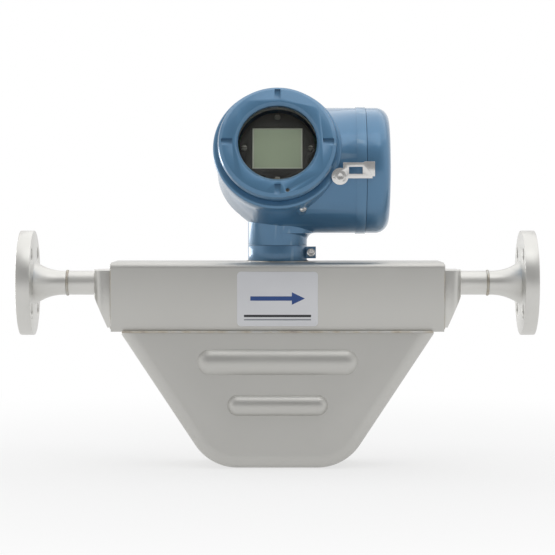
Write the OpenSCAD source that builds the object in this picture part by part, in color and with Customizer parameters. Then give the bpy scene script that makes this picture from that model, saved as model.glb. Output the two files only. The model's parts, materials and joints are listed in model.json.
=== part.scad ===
// Coriolis flow meter: a two-tube V sensor carrying a transmitter head that swivels.
// Sizes are in millimetres. Flow runs along +X, +Z is up and the display faces -Y.
// The origin is the centre of the inlet flange's sealing face.

/* [Process connection] */
// Length from sealing face to sealing face
face_to_face = 534; // [524:1:600]
// Outer diameter of the flanges
flange_d = 108; // [104:0.5:130]
// Thickness of a flange without its raised face
flange_t = 14.3; // [10:0.1:20]
// Diameter of the raised sealing face
raised_d = 50.8; // [46:0.1:60]
// Height of the raised sealing face
raised_h = 1.6; // [1:0.1:3]
// Diameter of the bolt circle
bolt_circle = 79.4; // [76:0.1:84]
// Diameter of the bolt holes
bolt_hole_d = 15.9; // [12:0.1:18]
// Number of bolt holes in each flange
bolt_count = 4; // [4:4:8]
// Bore of the pipe ends
bore_d = 20.8; // [16:0.1:23]
// Wall of the pipe ends
pipe_wall = 2; // [1.5:0.1:3]
// Diameter of the hub where it meets the flange
hub_d = 46; // [38:0.5:48]
// Length of the flared hub
hub_l = 30; // [20:1:34]

/* [Manifolds] */
// Reach of each manifold casting beyond the housing box
manifold_reach = 18.5; // [14:0.5:24]
// Width of the manifold castings, front to back
manifold_w = 72; // [70:1:84]
// Height of the casting's outer face above the pipe axis
manifold_up = 13.5; // [13:0.5:16]
// Depth of the casting's outer face below the pipe axis
manifold_down = 13; // [12:0.5:20]
// Slant of the casting below its outer face, from vertical
manifold_slant = 24; // [15:1:26]
// Depth of each manifold casting inside the housing box
manifold_depth = 31; // [28:0.5:34]
// Wall of the sockets round the ends of the flow tubes
socket_wall = 3.5; // [2.5:0.1:4.5]
// Length of the sockets round the ends of the flow tubes
socket_l = 16; // [12:0.5:18]

/* [Housing box] */
// Length of the housing box
box_l = 338; // [332:1:350]
// Width of the housing box, front to back
box_w = 100; // [96:1:120]
// Height of the housing box above the pipe axis
box_up = 22; // [20:0.5:30]
// Depth of the housing box below the pipe axis
box_down = 48; // [46:0.5:54]
// Sheet thickness of the housing box
box_wall = 2.5; // [2:0.1:4]
// Outer bend radius along the top edges of the box
box_bend_r = 6; // [4:0.5:8]
// Thickness of the end plates
end_plate_t = 3; // [2:0.5:4]

/* [V case] */
// Length of the V case where it meets the box
case_top_l = 319; // [312:1:322]
// Depth of the V case below the housing box
case_depth = 140; // [130:1:160]
// Slant of the V case sides, from vertical
case_slant = 33.5; // [30:0.5:36]
// Corner radius of the V outline
case_corner_r = 52; // [46:1:58]
// Radius of the pressed edge round the V case
case_edge_r = 14; // [8:1:18]
// Sheet thickness of the V case
case_wall = 2.5; // [2:0.1:3.5]
// How far a bead stands out of the V case
bead_out = 6; // [4:0.5:8]
// Length of the upper bead
upper_bead_l = 163; // [120:1:180]
// Height of the upper bead
upper_bead_h = 26; // [20:1:30]
// Depth of the upper bead's centre below the box
upper_bead_z = 31; // [28:1:40]
// Length of the lower bead
lower_bead_l = 102; // [70:1:120]
// Height of the lower bead
lower_bead_h = 21; // [16:1:24]
// Depth of the lower bead's centre below the box
lower_bead_z = 75; // [66:1:80]

/* [Flow tubes] */
// Outer diameter of the flow tubes
tube_d = 17; // [14:0.1:19]
// Wall of the flow tubes
tube_wall = 1.5; // [1:0.1:2]
// Distance between the two flow tubes, centre to centre
tube_gap = 45; // [42:0.5:48]
// Distance from the V outline in to the tube centre
tube_inset = 22; // [20:0.5:26]
// Depth of the tube ends below the pipe axis
tube_end_z = 31; // [28:0.5:34]
// Thickness of the brace bars
brace_t = 3; // [2:0.5:4]
// Width of the brace bars
brace_w = 24; // [22:0.5:26]
// Distance between the two brace bars of one side
brace_step = 20; // [16:1:24]

/* [Drive and pickoffs] */
// Place of the pickoffs, along the leg from the tube end
pickoff_s = 94; // [92:1:104]
// Outer diameter of the coils
coil_d = 20; // [16:0.5:22]
// Bore of the coils
coil_bore = 8; // [7:0.5:10]
// Length of the coils
coil_l = 11; // [9:0.5:12]
// Diameter of the magnets
magnet_d = 6; // [4:0.5:6.5]
// Length of the magnets
magnet_l = 15; // [12:0.5:16]
// Thickness of the saddles between tube and coil or magnet
saddle_t = 4; // [3:0.5:5]
// Length and width of the saddles
saddle_l = 16; // [14:0.5:20]

/* [Name plate] */
// Length of the name plate
plate_l = 82; // [60:1:100]
// Height of the name plate
plate_h = 55.4; // [40:0.1:58]
// Thickness of the name plate
plate_t = 0.8; // [0.5:0.1:1.5]
// Corner radius of the name plate
plate_r = 4; // [2:0.5:8]
// Distance from the box's lower edge to the name plate
plate_rise = 5.6; // [4:0.1:8]

/* [Neck and swivel] */
// Diameter of the neck
neck_d = 61; // [58:0.5:64]
// Fillet radius between the neck and the head
neck_fillet = 8; // [4:0.5:12]
// Height of the clamp collar on the housing box
collar_h = 17; // [16:0.5:24]
// Diameter of the swivel spigot
spigot_d = 46; // [44:0.5:48]
// Bore of the neck
neck_bore_d = 35; // [28:0.5:36]
// Diameter of the clamp screw
clamp_screw_d = 5; // [4:0.5:6]

/* [Transmitter housing] */
// Height of the head's centre above the pipe axis
head_z = 116; // [114:1:130]
// Diameter of the terminal barrel
barrel_d = 129; // [126:0.5:132]
// Length of the barrel from the neck axis to the cover joint
barrel_l = 90; // [88:0.5:100]
// Reach of the barrel's rounded end beyond the neck axis
dome_reach = 58; // [54:0.5:62]
// Length of the barrel's raised end band
band_l = 10; // [6:0.5:14]
// Wall round the mouth of the terminal compartment
terminal_wall = 10; // [8:0.5:12]
// Ledge behind the thread of the terminal compartment
thread_land = 4.5; // [3:0.5:6]
// Depth of the terminal compartment
terminal_depth = 38; // [36:0.5:40]
// Tilt of the display from vertical
tilt = 20; // [12:1:24]
// Reach of the display compartment beyond the barrel's own radius
pod_reach = 1.5; // [0:0.5:8]
// Diameter of the display compartment's front rim
pod_d = 130; // [126:0.5:134]
// Diameter of the display compartment where it leaves the barrel
pod_root_d = 112; // [106:1:116]
// Bore of the display compartment
pod_bore = 92; // [90:0.5:92]
// Depth of the display compartment
pod_depth = 36; // [34:0.5:38]
// Bore of the conduit entries
conduit_d = 21.2; // [20:0.1:24]
// Distance between the two conduit entries
conduit_gap = 56; // [46:1:60]

/* [Covers] */
// Diameter of the display cover
cover_d = 120; // [116:0.5:124]
// Thickness of the display cover
cover_t = 16; // [14:0.5:20]
// Opening of the display cover
opening_d = 79; // [74:0.5:82]
// Diameter of the display cover's threaded spigot
cover_spigot_d = 104; // [102:0.5:106]
// Length of a cover's threaded spigot
cover_spigot_l = 11; // [9:0.5:12]
// Thickness of the display window
window_t = 6; // [4:0.5:8]
// Length of the terminal cover beyond the joint
cap_l = 24.5; // [22:0.5:28]
// Outer edge radius of the terminal cover
cap_edge_r = 14; // [8:0.5:16]
// Width of the wrench slots in the covers
wrench_slot_w = 6; // [4:0.5:8]

/* [Display] */
// Length of the glass panel
lcd_l = 50.5; // [44:0.5:52]
// Height of the glass panel
lcd_h = 44; // [38:0.5:46]
// Diameter of the display module
module_d = 76; // [74:0.5:77]
// Distance from the cover's front down to the display module
module_down = 20; // [19:0.5:22]
// Depth of the display module
module_depth = 14; // [12:0.5:14]
// Thickness of the circuit boards
board_t = 1.6; // [1:0.1:2]

/* [Fits] */
// Clearance of pieces welded, brazed or pressed together
seat_gap = 0.1; // [0.05:0.01:0.15]
// Radial clearance of the swivel spigot
swivel_gap = 0.1; // [0.05:0.01:0.1]
// Clearance between a cover and the housing
cover_gap = 0.3; // [0.3:0.05:0.6]
// Radial clearance between the cover threads
thread_gap = 0.3; // [0.3:0.05:0.5]

/* [Hidden] */
$fn = 64;
cut = 1;

// Colours
paint = [0.33, 0.46, 0.60];
satin = [0.68, 0.67, 0.65];
machined = [0.80, 0.80, 0.79];
cast_steel = [0.66, 0.66, 0.64];
copper = [0.72, 0.45, 0.25];
magnet_grey = [0.35, 0.35, 0.37];
rubber = [0.10, 0.10, 0.11];
black_plastic = [0.14, 0.13, 0.12];
circuit_green = [0.08, 0.30, 0.16];

// Process connection
face_x = face_to_face / 2;
pipe_d = bore_d + 2 * pipe_wall;
flange_back_x = face_x - raised_h - flange_t;
weld_land = 4;
weld_x = flange_back_x - hub_l - weld_land;
hub_rise = (hub_d - pipe_d) / 2;
hub_curve_r = (hub_rise * hub_rise + hub_l * hub_l) / (2 * hub_rise);

// Housing box and V case
box_x = box_l / 2;
box_y = box_w / 2;
case_y = box_y - box_wall - seat_gap;
case_lap = box_wall;
case_neck = 3;
edge_step = 15;
case_z = -box_down - case_neck;
case_top_z = -box_down + case_lap;
case_bottom_z = case_z - case_depth + case_neck;
function slant_x(z, inset) = case_top_l / 2 - inset / cos(case_slant) + (z - case_z) * tan(case_slant);
corner_z = case_bottom_z + case_corner_r;
corner_x = slant_x(corner_z, case_corner_r);

// Manifolds
manifold_x = box_x + manifold_reach;
manifold_foot_z = case_top_z + 1;
manifold_inner_x = box_x - manifold_depth;
manifold_corner_r = 9;

// Flow tubes: each leg is measured by the distance s down from the tube end
tube_y = tube_gap / 2;
tube_bore = tube_d - 2 * tube_wall;
header_d = bore_d + 1.2;
header_l = tube_gap + tube_bore + 2;
leg_x = slant_x(-tube_end_z, tube_inset);
bend_r = case_corner_r - tube_inset;
leg_l = (-tube_end_z - corner_z + bend_r * sin(case_slant)) / cos(case_slant);
tube_bottom_z = corner_z - bend_r;
socket_d = tube_d + 2 * (seat_gap + socket_wall);
brace_rise = brace_w / 2 * sin(case_slant) + brace_t / 2 * cos(case_slant);
brace_s = max(socket_l + 6, (brace_rise + 2 - tube_end_z - manifold_foot_z) / cos(case_slant));
saddle_y = tube_y - tube_d / 2 - saddle_t;

// Neck and head
collar_top_z = box_up + collar_h;
joint_z = collar_top_z + cover_gap;
collar_floor_t = 3;
spigot_z = box_up + collar_floor_t + 1;
feed_d = 30;
pin_d = 1.4;
pin_l = 22;
seal_wire = 2;
clamp_x = neck_d / 2 + 4;
clamp_z = box_up + collar_h / 2 + 1;
clamp_lug_l = 9;
clamp_lug_h = 12;
clamp_slit = 3;
pod_l = barrel_d / 2 + pod_reach;
pod_rim_l = 9;
pod_edge_r = 3;
dome_x = barrel_d / 2 - dome_reach;
terminal_x = barrel_l - terminal_depth;
terminal_mouth = barrel_d - 2 * terminal_wall;
terminal_bore = terminal_mouth - 2 * thread_land;
block_t = 4;
block_rise = 12;
block_w = 0.34 * terminal_bore;
terminal_count = 6;
terminal_step = 0.09 * terminal_bore;
terminal_row = 0.1 * terminal_bore;
wire_way_y = 0.34 * terminal_bore;
wire_way_z = 0.14 * terminal_bore;
wire_way_d = 12;
conduit_x = (terminal_x + block_t + barrel_l + cover_gap - cover_spigot_l) / 2;
conduit_reach = 11;
conduit_wall = 6.5;
plug_l = 16;
plug_head_l = 4;
plug_key_d = 11;
conduit_y = barrel_d / 2 + conduit_reach;
conduit_boss_d = conduit_d + 2 * conduit_wall;

// Covers, along the display axis or the barrel axis
cover_front = pod_l + cover_gap + cover_t;
pod_mouth = cover_spigot_d + 2 * thread_gap;
retainer_t = 3.7;
seat_t = pod_l + cover_gap + retainer_t;
lock_boss_angle = -67;
lock_boss_d = 12;
lock_boss_l = 28;
lock_screw_d = 4;
lock_screw_at = [cover_d / 12, 8 - cover_d / 2];
module_front = cover_front - module_down;
module_back = module_front - module_depth;
post_edge = 4.5;
post_r = module_d / 2 - post_edge;
post_d = 6;
post_hole_d = 3.4;
pod_floor = pod_l - pod_depth;
board_rise = 5;
board_step = 6;
main_board_z = pod_floor + board_rise;
power_board_z = main_board_z + board_step;

// Clamp of the terminal cover
clamp_reach = 27.5;
clamp_drop = 7;
clamp_rise = 9.5;
clamp_eye_x = barrel_l - clamp_reach;
clamp_eye_z = head_z - clamp_drop;
clamp_y = barrel_d / 2 + clamp_rise;
clamp_eye_d = 17;
clamp_t = 2;

// Moves the middle of the meter to its place behind the inlet face
module at_mid() translate([face_x, 0, 0]) children();

// Turns a piece drawn for the outlet end round to the inlet end where side is -1
module at_end(side) at_mid() rotate([0, 0, side < 0 ? 180 : 0]) children();

// Local z runs along the display axis, out of the head
module at_pod() at_mid() translate([0, 0, head_z]) rotate([90 - tilt, 0, 0]) children();

// Local z runs along the barrel axis, out of the terminal end
module at_barrel() at_mid() translate([0, 0, head_z]) rotate([0, 90, 0]) children();

// Local z runs up one leg of the flow tubes, at the distance s from the tube end
module at_leg(side, s) at_end(side)
    translate([leg_x - s * sin(case_slant), 0, -tube_end_z - s * cos(case_slant)])
        rotate([0, case_slant, 0]) children();

// Round bar along X
module rod_x(d, from_x, to_x)
    translate([from_x, 0, 0]) rotate([0, 90, 0]) cylinder(d = d, h = to_x - from_x);

// Round bar along Y
module rod_y(d, from_y, to_y)
    translate([0, from_y, 0]) rotate([-90, 0, 0]) cylinder(d = d, h = to_y - from_y);

// Round bar between two points
module rod(from, to, d) {
    v = to - from;
    translate(from)
        rotate([0, acos(v.z / norm(v)), atan2(v.y, v.x)])
            cylinder(d = d, h = norm(v));
}

// Rectangle with round corners, centred
module round_rect(l, h, r) {
    square([l - 2 * r, h], center = true);
    square([l, h - 2 * r], center = true);
    for (x = [-1, 1], y = [-1, 1])
        translate([x * (l / 2 - r), y * (h / 2 - r)]) circle(r);
}

// Ring between two radii, from one height to another
module ring(outer_d, inner_d, from_z, to_z)
    translate([0, 0, from_z]) difference() {
        cylinder(d = outer_d, h = to_z - from_z);
        translate([0, 0, -cut]) cylinder(d = inner_d, h = to_z - from_z + 2 * cut);
    }

// Half section of the flared hub, curved inward up to the flange
module hub_outline()
    translate([0, flange_back_x - hub_l]) difference() {
        square([hub_d / 2, hub_l]);
        translate([pipe_d / 2 + hub_curve_r, 0]) circle(hub_curve_r, $fn = 256);
    }

// Weld-neck flange of the outlet end
module flange_half()
    difference() {
        rotate([0, 90, 0]) rotate_extrude() difference() {
            union() {
                translate([0, weld_x]) square([pipe_d / 2, face_x - weld_x]);
                hub_outline();
                translate([0, flange_back_x]) square([flange_d / 2, flange_t]);
                translate([0, flange_back_x]) square([raised_d / 2, flange_t + raised_h]);
            }
            translate([0, weld_x - cut]) square([bore_d / 2, face_x - weld_x + 2 * cut]);
        }
        for (i = [0 : bolt_count - 1])
            rotate([(i + 0.5) * 360 / bolt_count, 0, 0])
                translate([0, bolt_circle / 2, 0])
                    rod_x(bolt_hole_d, flange_back_x - cut, face_x);
    }

module inlet_flange() color(machined) at_end(-1) flange_half();
module outlet_flange() color(machined) at_end(1) flange_half();

// Cast manifold of the outlet end: one pipe bore that splits to two tube sockets
module manifold_side() {
    foot_x = manifold_x - (-manifold_foot_z - manifold_down) * tan(manifold_slant);
    polygon([
        [manifold_x, manifold_up], [manifold_x, -manifold_down], [foot_x, manifold_foot_z],
        [manifold_inner_x, manifold_foot_z], [manifold_inner_x, -tube_end_z + 4],
        [manifold_inner_x + 20, manifold_up]]);
}

// The pipe bore ends in a cross bore, and one branch runs from there in line with each tube
module manifold_half() {
    header_x = slant_x(0, tube_inset);
    difference() {
        union() {
            intersection() {
                rotate([90, 0, 0]) linear_extrude(manifold_w, center = true) manifold_side();
                translate([manifold_x - manifold_w, 0, manifold_foot_z - cut])
                    linear_extrude(manifold_up - manifold_foot_z + 2 * cut)
                        round_rect(2 * manifold_w, manifold_w, manifold_corner_r);
            }
            rod_x(pipe_d, box_x, weld_x);
            rod_x(pipe_d + 3, manifold_x, manifold_x + 2);
            at_sockets() translate([0, 0, -socket_l]) cylinder(d = socket_d, h = socket_l + 6);
        }
        rod_x(bore_d, header_x, weld_x + cut);
        translate([header_x, 0, 0]) rod_y(header_d, -header_l / 2, header_l / 2);
        at_sockets() {
            cylinder(d = tube_bore, h = tube_end_z / cos(case_slant));
            translate([0, 0, -socket_l - cut]) cylinder(d = tube_d + 2 * seat_gap, h = socket_l + cut);
        }
    }
}

// The two tube ends of the outlet side, with local z up the leg
module at_sockets()
    for (y = [-tube_y, tube_y])
        translate([leg_x, y, -tube_end_z]) rotate([0, case_slant, 0]) children();

module inlet_manifold() color(cast_steel) at_end(-1) manifold_half();
module outlet_manifold() color(cast_steel) at_end(1) manifold_half();

// Outline of the housing box seen along X, moved in by inset and drawn down to low_z
module box_outline(inset, low_z) {
    r = box_bend_r - inset;
    y = box_y - inset;
    z = box_up - inset;
    translate([-y, low_z]) square([2 * y, z - r - low_z]);
    translate([-y + r, low_z]) square([2 * (y - r), z - low_z]);
    for (side = [-1, 1]) translate([side * (y - r), z - r]) circle(r);
}

// Folded sheet over the tube ends, open below and at both ends
module housing_box()
    color(satin) at_mid() difference() {
        rotate([90, 0, 90]) linear_extrude(box_l, center = true) difference() {
            box_outline(0, -box_down);
            box_outline(box_wall, -box_down - cut);
        }
        cylinder(d = feed_d, h = box_up + cut);
    }

// End plate with a window for the manifold and a lip that closes the box towards the V case
module end_plate_half() {
    window_h = manifold_up - manifold_foot_z + 2 * seat_gap;
    lip_from = case_top_l / 2 + seat_gap;
    plate_x = box_x - end_plate_t;
    low_z = case_top_z + seat_gap;
    difference() {
        union() {
            translate([plate_x, 0, 0]) rotate([90, 0, 90]) linear_extrude(end_plate_t)
                box_outline(box_wall + seat_gap, -box_down);
            translate([lip_from, -case_y, -box_down])
                cube([plate_x - lip_from + cut, 2 * case_y, case_lap]);
        }
        translate([plate_x - cut, -manifold_w / 2 - seat_gap, manifold_foot_z - seat_gap])
            cube([end_plate_t + 2 * cut, manifold_w + 2 * seat_gap, window_h]);
    }
}

module inlet_end_plate() color(satin) at_end(-1) end_plate_half();
module outlet_end_plate() color(satin) at_end(1) end_plate_half();

// V outline seen from the front, moved in by inset and drawn up to top_z
module case_outline(inset, top_z) {
    r = case_corner_r - inset;
    tangent_x = corner_x + r * cos(case_slant);
    tangent_z = corner_z - r * sin(case_slant);
    neck_x = case_top_l / 2 - inset;
    neck_z = case_z + inset * (1 / cos(case_slant) - 1) / tan(case_slant);
    polygon([
        [neck_x, top_z], [neck_x, neck_z], [tangent_x, tangent_z], [corner_x, corner_z - r],
        [-corner_x, corner_z - r], [-tangent_x, tangent_z], [-neck_x, neck_z], [-neck_x, top_z]]);
    for (side = [-1, 1]) translate([side * corner_x, corner_z]) circle(r, $fn = 96);
}

// Front half of the V body, from the middle plane out to half_w, with a rounded edge
module case_solid(inset, half_w, edge_r, top_z)
    rotate([90, 0, 0]) hull() {
        linear_extrude(half_w - edge_r) case_outline(inset, top_z);
        for (a = [edge_step : edge_step : 90])
            linear_extrude(half_w - edge_r * (1 - sin(a)))
                case_outline(inset + edge_r * (1 - cos(a)), top_z);
    }

// Pressed bead with round ends; grow is negative for its inner side
module bead(below_box, length, height, grow) {
    r = (height * height / 4 + bead_out * bead_out) / (2 * bead_out);
    half = (length - height) / 2;
    translate([0, r - case_y - bead_out, -box_down - below_box]) {
        rod_x(2 * (r + grow), -half, half);
        for (x = [-half, half]) translate([x, 0, 0]) sphere(r + grow);
    }
}

module beads(grow) {
    bead(upper_bead_z, upper_bead_l, upper_bead_h, grow);
    bead(lower_bead_z, lower_bead_l, lower_bead_h, grow);
}

// One pressed half of the V case
module case_half()
    difference() {
        union() {
            case_solid(0, case_y, case_edge_r, case_top_z);
            beads(0);
        }
        case_solid(case_wall, case_y - case_wall, case_edge_r - case_wall, case_top_z + cut);
        beads(-case_wall);
        translate([-box_l, 0, -2 * box_l]) cube([2 * box_l, box_w, 2 * box_l]);
    }

module case_front_shell() color(satin) at_mid() case_half();
module case_back_shell() color(satin) at_mid() rotate([0, 0, 180]) case_half();

// Plain plate on the front of the box
module name_plate()
    color([0.80, 0.81, 0.84]) at_mid()
        translate([0, -box_y, -box_down + plate_rise + plate_h / 2])
            rotate([90, 0, 0]) linear_extrude(plate_t) round_rect(plate_l, plate_h, plate_r);

// Path of a flow tube as a round bar, with the ends lengthened by extra
module tube_path(d, extra) {
    rod_x(d, -corner_x, corner_x);
    for (side = [0, 1]) mirror([side, 0, 0]) translate([corner_x, 0, bend_r]) {
        rotate([90, 0, 0]) rotate_extrude(angle = 90 - case_slant, start = -90)
            translate([bend_r, 0]) circle(d = d);
        rotate([0, case_slant, 0]) translate([bend_r, 0, 0]) cylinder(d = d, h = leg_l + extra);
    }
}

module flow_tube(y)
    color(machined) at_mid() translate([0, y, tube_bottom_z]) difference() {
        tube_path(tube_d, 0);
        tube_path(tube_bore, cut);
    }

module flow_tube_front() flow_tube(-tube_y);
module flow_tube_back() flow_tube(tube_y);

// Flat bar brazed on to both tubes
module brace(side, s)
    color(cast_steel) at_leg(side, s) difference() {
        translate([0, 0, -brace_t / 2]) linear_extrude(brace_t)
            rotate(90) round_rect(tube_gap + tube_d + 8, brace_w, 6);
        for (y = [-tube_y, tube_y]) translate([0, y, -brace_t])
            cylinder(d = tube_d + 2 * seat_gap, h = 2 * brace_t);
    }

module inlet_outer_brace() brace(-1, brace_s);
module inlet_inner_brace() brace(-1, brace_s + brace_step);
module outlet_outer_brace() brace(1, brace_s);
module outlet_inner_brace() brace(1, brace_s + brace_step);

// Coil bobbin with its winding, on the tube at +y
module coil()
    color(copper) rotate([90, 0, 0]) translate([0, 0, -saddle_y]) difference() {
        union() {
            cylinder(d = coil_d - 2, h = coil_l);
            cylinder(d = coil_d, h = 1.5);
            translate([0, 0, coil_l - 1.5]) cylinder(d = coil_d, h = 1.5);
        }
        translate([0, 0, -cut]) cylinder(d = coil_bore, h = coil_l + 2 * cut);
    }

// Magnet that reaches into the coil, on the tube at -y
module magnet()
    color(magnet_grey) rotate([-90, 0, 0]) translate([0, 0, -saddle_y]) {
        cylinder(d = saddle_l - 2, h = 2);
        cylinder(d = magnet_d, h = magnet_l);
    }

// Saddle that joins a coil to the tube at +y
module saddle()
    color(cast_steel) difference() {
        translate([-saddle_l / 2, saddle_y, -saddle_l / 2])
            cube([saddle_l, tube_y - saddle_y, saddle_l]);
        translate([0, tube_y, -saddle_l])
            cylinder(d = tube_d + 2 * seat_gap, h = 2 * saddle_l);
    }

// The drive sits at the bottom of the V, with local z along the tube
module at_drive() at_mid() translate([0, 0, tube_bottom_z]) rotate([0, 90, 0]) children();

module drive_coil() at_drive() coil();
module drive_coil_bracket() at_drive() saddle();
module drive_magnet() at_drive() magnet();
module drive_magnet_bracket() at_drive() mirror([0, 1, 0]) saddle();
module inlet_pickoff_coil() at_leg(-1, pickoff_s) mirror([0, 1, 0]) coil();
module inlet_coil_bracket() at_leg(-1, pickoff_s) mirror([0, 1, 0]) saddle();
module inlet_pickoff_magnet() at_leg(-1, pickoff_s) mirror([0, 1, 0]) magnet();
module inlet_magnet_bracket() at_leg(-1, pickoff_s) saddle();
module outlet_pickoff_coil() at_leg(1, pickoff_s) coil();
module outlet_coil_bracket() at_leg(1, pickoff_s) saddle();
module outlet_pickoff_magnet() at_leg(1, pickoff_s) magnet();
module outlet_magnet_bracket() at_leg(1, pickoff_s) mirror([0, 1, 0]) saddle();

// Resistance thermometer in a small shoe on the inlet tube
module temperature_sensor()
    color(machined) at_leg(-1, brace_s + brace_step + 16) {
        shoe_y = tube_y + tube_d / 2 + 4;
        difference() {
            translate([-4, tube_y, -7]) cube([8, shoe_y - tube_y, 14]);
            translate([0, tube_y, -9]) cylinder(d = tube_d + 2 * seat_gap, h = 18);
            translate([0, shoe_y, -9]) cylinder(d = 3 + 2 * seat_gap, h = 18);
        }
        translate([0, shoe_y, -6]) cylinder(d = 3 + 2 * seat_gap, h = 12);
    }

// Sealed plug that carries the sensor wires out of the case
module feedthrough()
    color(machined) at_mid() {
        floor_z = box_up + collar_floor_t;
        translate([0, 0, box_up - box_wall])
            cylinder(d = feed_d - 2 * seat_gap, h = box_wall + collar_floor_t);
        translate([0, 0, floor_z]) cylinder(d = neck_bore_d - 3, h = 1.5);
        for (i = [0 : 7]) rotate([0, 0, i * 45])
            translate([feed_d / 3, 0, box_up - box_wall - 5]) cylinder(d = pin_d, h = pin_l);
        translate([0, 0, box_up - box_wall - 5]) cylinder(d = pin_d, h = pin_l);
    }

// Split collar that holds the swivel spigot
module neck_collar()
    color(paint) at_mid() difference() {
        union() {
            translate([0, 0, box_up]) cylinder(d = neck_d, h = collar_h);
            translate([neck_d / 2 - 5, -clamp_lug_l, clamp_z - clamp_lug_h / 2])
                cube([14, 2 * clamp_lug_l, clamp_lug_h]);
        }
        translate([0, 0, box_up + collar_floor_t])
            cylinder(d = spigot_d + 2 * swivel_gap, h = collar_h);
        translate([0, 0, box_up - cut]) cylinder(d = feed_d, h = collar_floor_t + 2 * cut);
        translate([spigot_d / 2 - 2, -clamp_slit / 2, box_up + collar_floor_t])
            cube([neck_d, clamp_slit, collar_h]);
        translate([clamp_x, 0, clamp_z]) {
            rod_y(clamp_screw_d + 0.5, -clamp_lug_l - cut, 0);
            rod_y(clamp_screw_d + 2 * seat_gap, 0, clamp_lug_l + cut);
        }
    }

// Socket-head screw across the slit of the collar
module neck_clamp_screw()
    color(machined) at_mid() translate([clamp_x, 0, clamp_z]) difference() {
        union() {
            rod_y(clamp_screw_d, -clamp_lug_l - cut, clamp_lug_l);
            rod_y(1.7 * clamp_screw_d, -clamp_lug_l - clamp_screw_d, -clamp_lug_l);
        }
        translate([0, -clamp_lug_l - clamp_screw_d - cut, 0]) rotate([-90, 0, 0])
            cylinder(d = 0.9 * clamp_screw_d, h = 3.5, $fn = 6);
    }

// O-ring of the swivel spigot
module neck_seal()
    color(rubber) at_mid() translate([0, 0, (spigot_z + joint_z) / 2])
        rotate_extrude() translate([spigot_d / 2 - seal_wire / 2 - seat_gap, 0]) circle(d = seal_wire);

// Flare that rounds the corner where the neck meets the underside of the barrel
module neck_flare() {
    flare_z = head_z - barrel_d / 2 - neck_fillet;
    translate([neck_fillet, 0, flare_z]) rotate_extrude($fn = 96) difference() {
        square([neck_d / 2, head_z - flare_z]);
        translate([neck_d / 2, 0]) circle(neck_fillet);
    }
}

// Outside of the transmitter casting
module housing_outside() {
    at_mid() {
        translate([0, 0, joint_z]) cylinder(d = neck_d, h = head_z - joint_z);
        neck_flare();
        translate([0, 0, spigot_z]) cylinder(d = spigot_d, h = joint_z - spigot_z + cut);
        for (z = [-1, 1]) translate([conduit_x, 0, head_z + z * conduit_gap / 2])
            rod_y(conduit_boss_d, 0, conduit_y);
        translate([clamp_eye_x, 0, clamp_eye_z]) rod_y(clamp_eye_d - 2, -clamp_y, 0);
    }
    at_barrel() {
        translate([0, 0, dome_x]) sphere(d = barrel_d, $fn = 128);
        translate([0, 0, dome_x]) cylinder(d = barrel_d, h = barrel_l - dome_x, $fn = 128);
        translate([0, 0, barrel_l - band_l]) cylinder(d = barrel_d + 1.6, h = band_l, $fn = 128);
    }
    at_pod() rotate_extrude($fn = 128) {
        polygon([
            [0, 0], [pod_root_d / 2, 0], [pod_d / 2, pod_l - pod_rim_l],
            [pod_d / 2, pod_l - pod_edge_r], [0, pod_l - pod_edge_r]]);
        square([pod_d / 2 - pod_edge_r, pod_l]);
        translate([pod_d / 2 - pod_edge_r, pod_l - pod_edge_r]) circle(pod_edge_r);
    }
    at_pod() rotate(lock_boss_angle) translate([pod_d / 2 - 5, 0, pod_l - lock_boss_l - 4])
        cylinder(d = lock_boss_d, h = lock_boss_l);
}

// Hollow of the two compartments, the neck and the wire ways
module housing_inside() {
    at_pod() {
        translate([0, 0, pod_floor]) cylinder(d = pod_bore, h = pod_depth + cut);
        translate([0, 0, pod_l - cover_spigot_l - 1]) cylinder(d = pod_mouth, h = cover_spigot_l + 2);
        translate([0, 0, pod_l - seal_wire - 2]) cylinder(d = pod_mouth + 3.5, h = seal_wire + 3);
        translate([0, -18, -6]) cylinder(d = 24, h = pod_floor + 7);
    }
    at_barrel() {
        translate([0, 0, terminal_x]) cylinder(d = terminal_bore, h = terminal_depth + cut);
        translate([0, 0, barrel_l - cover_spigot_l - 1])
            cylinder(d = terminal_mouth + 2 * thread_gap, h = cover_spigot_l + 2);
        translate([0, 0, barrel_l - seal_wire - 2])
            cylinder(d = terminal_mouth + 2 * thread_gap + 3.5, h = seal_wire + 3);
    }
    at_mid() {
        translate([0, 0, spigot_z - cut]) cylinder(d = neck_bore_d, h = head_z - spigot_z - 4);
        for (z = [-1, 1]) translate([conduit_x, 0, head_z + z * conduit_gap / 2])
            rod_y(conduit_d, terminal_bore / 4, conduit_y + cut);
        translate([0, -wire_way_y, head_z + wire_way_z])
            rod_x(wire_way_d, terminal_x - 12, terminal_x + cut);
        translate([clamp_eye_x, 0, clamp_eye_z])
            rod_y(clamp_screw_d + 1 + 2 * seat_gap, -clamp_y - cut, -clamp_y + 12);
    }
}

// One casting: neck, display compartment and terminal compartment
module transmitter_housing()
    color(paint) difference() {
        housing_outside();
        housing_inside();
        at_mid() translate([0, 0, (spigot_z + joint_z) / 2 - seal_wire / 2 - 0.3])
            ring(spigot_d + 2, spigot_d - 2 * seal_wire - 4 * seat_gap, 0, seal_wire + 0.6);
    }

// Slots for a cover wrench in a face at the height z
module wrench_slots(z, from_r, to_r, depth)
    for (a = [0 : 90 : 270]) rotate(a)
        translate([from_r, -wrench_slot_w / 2, z - depth])
            cube([to_r - from_r, wrench_slot_w, depth + cut]);

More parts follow.
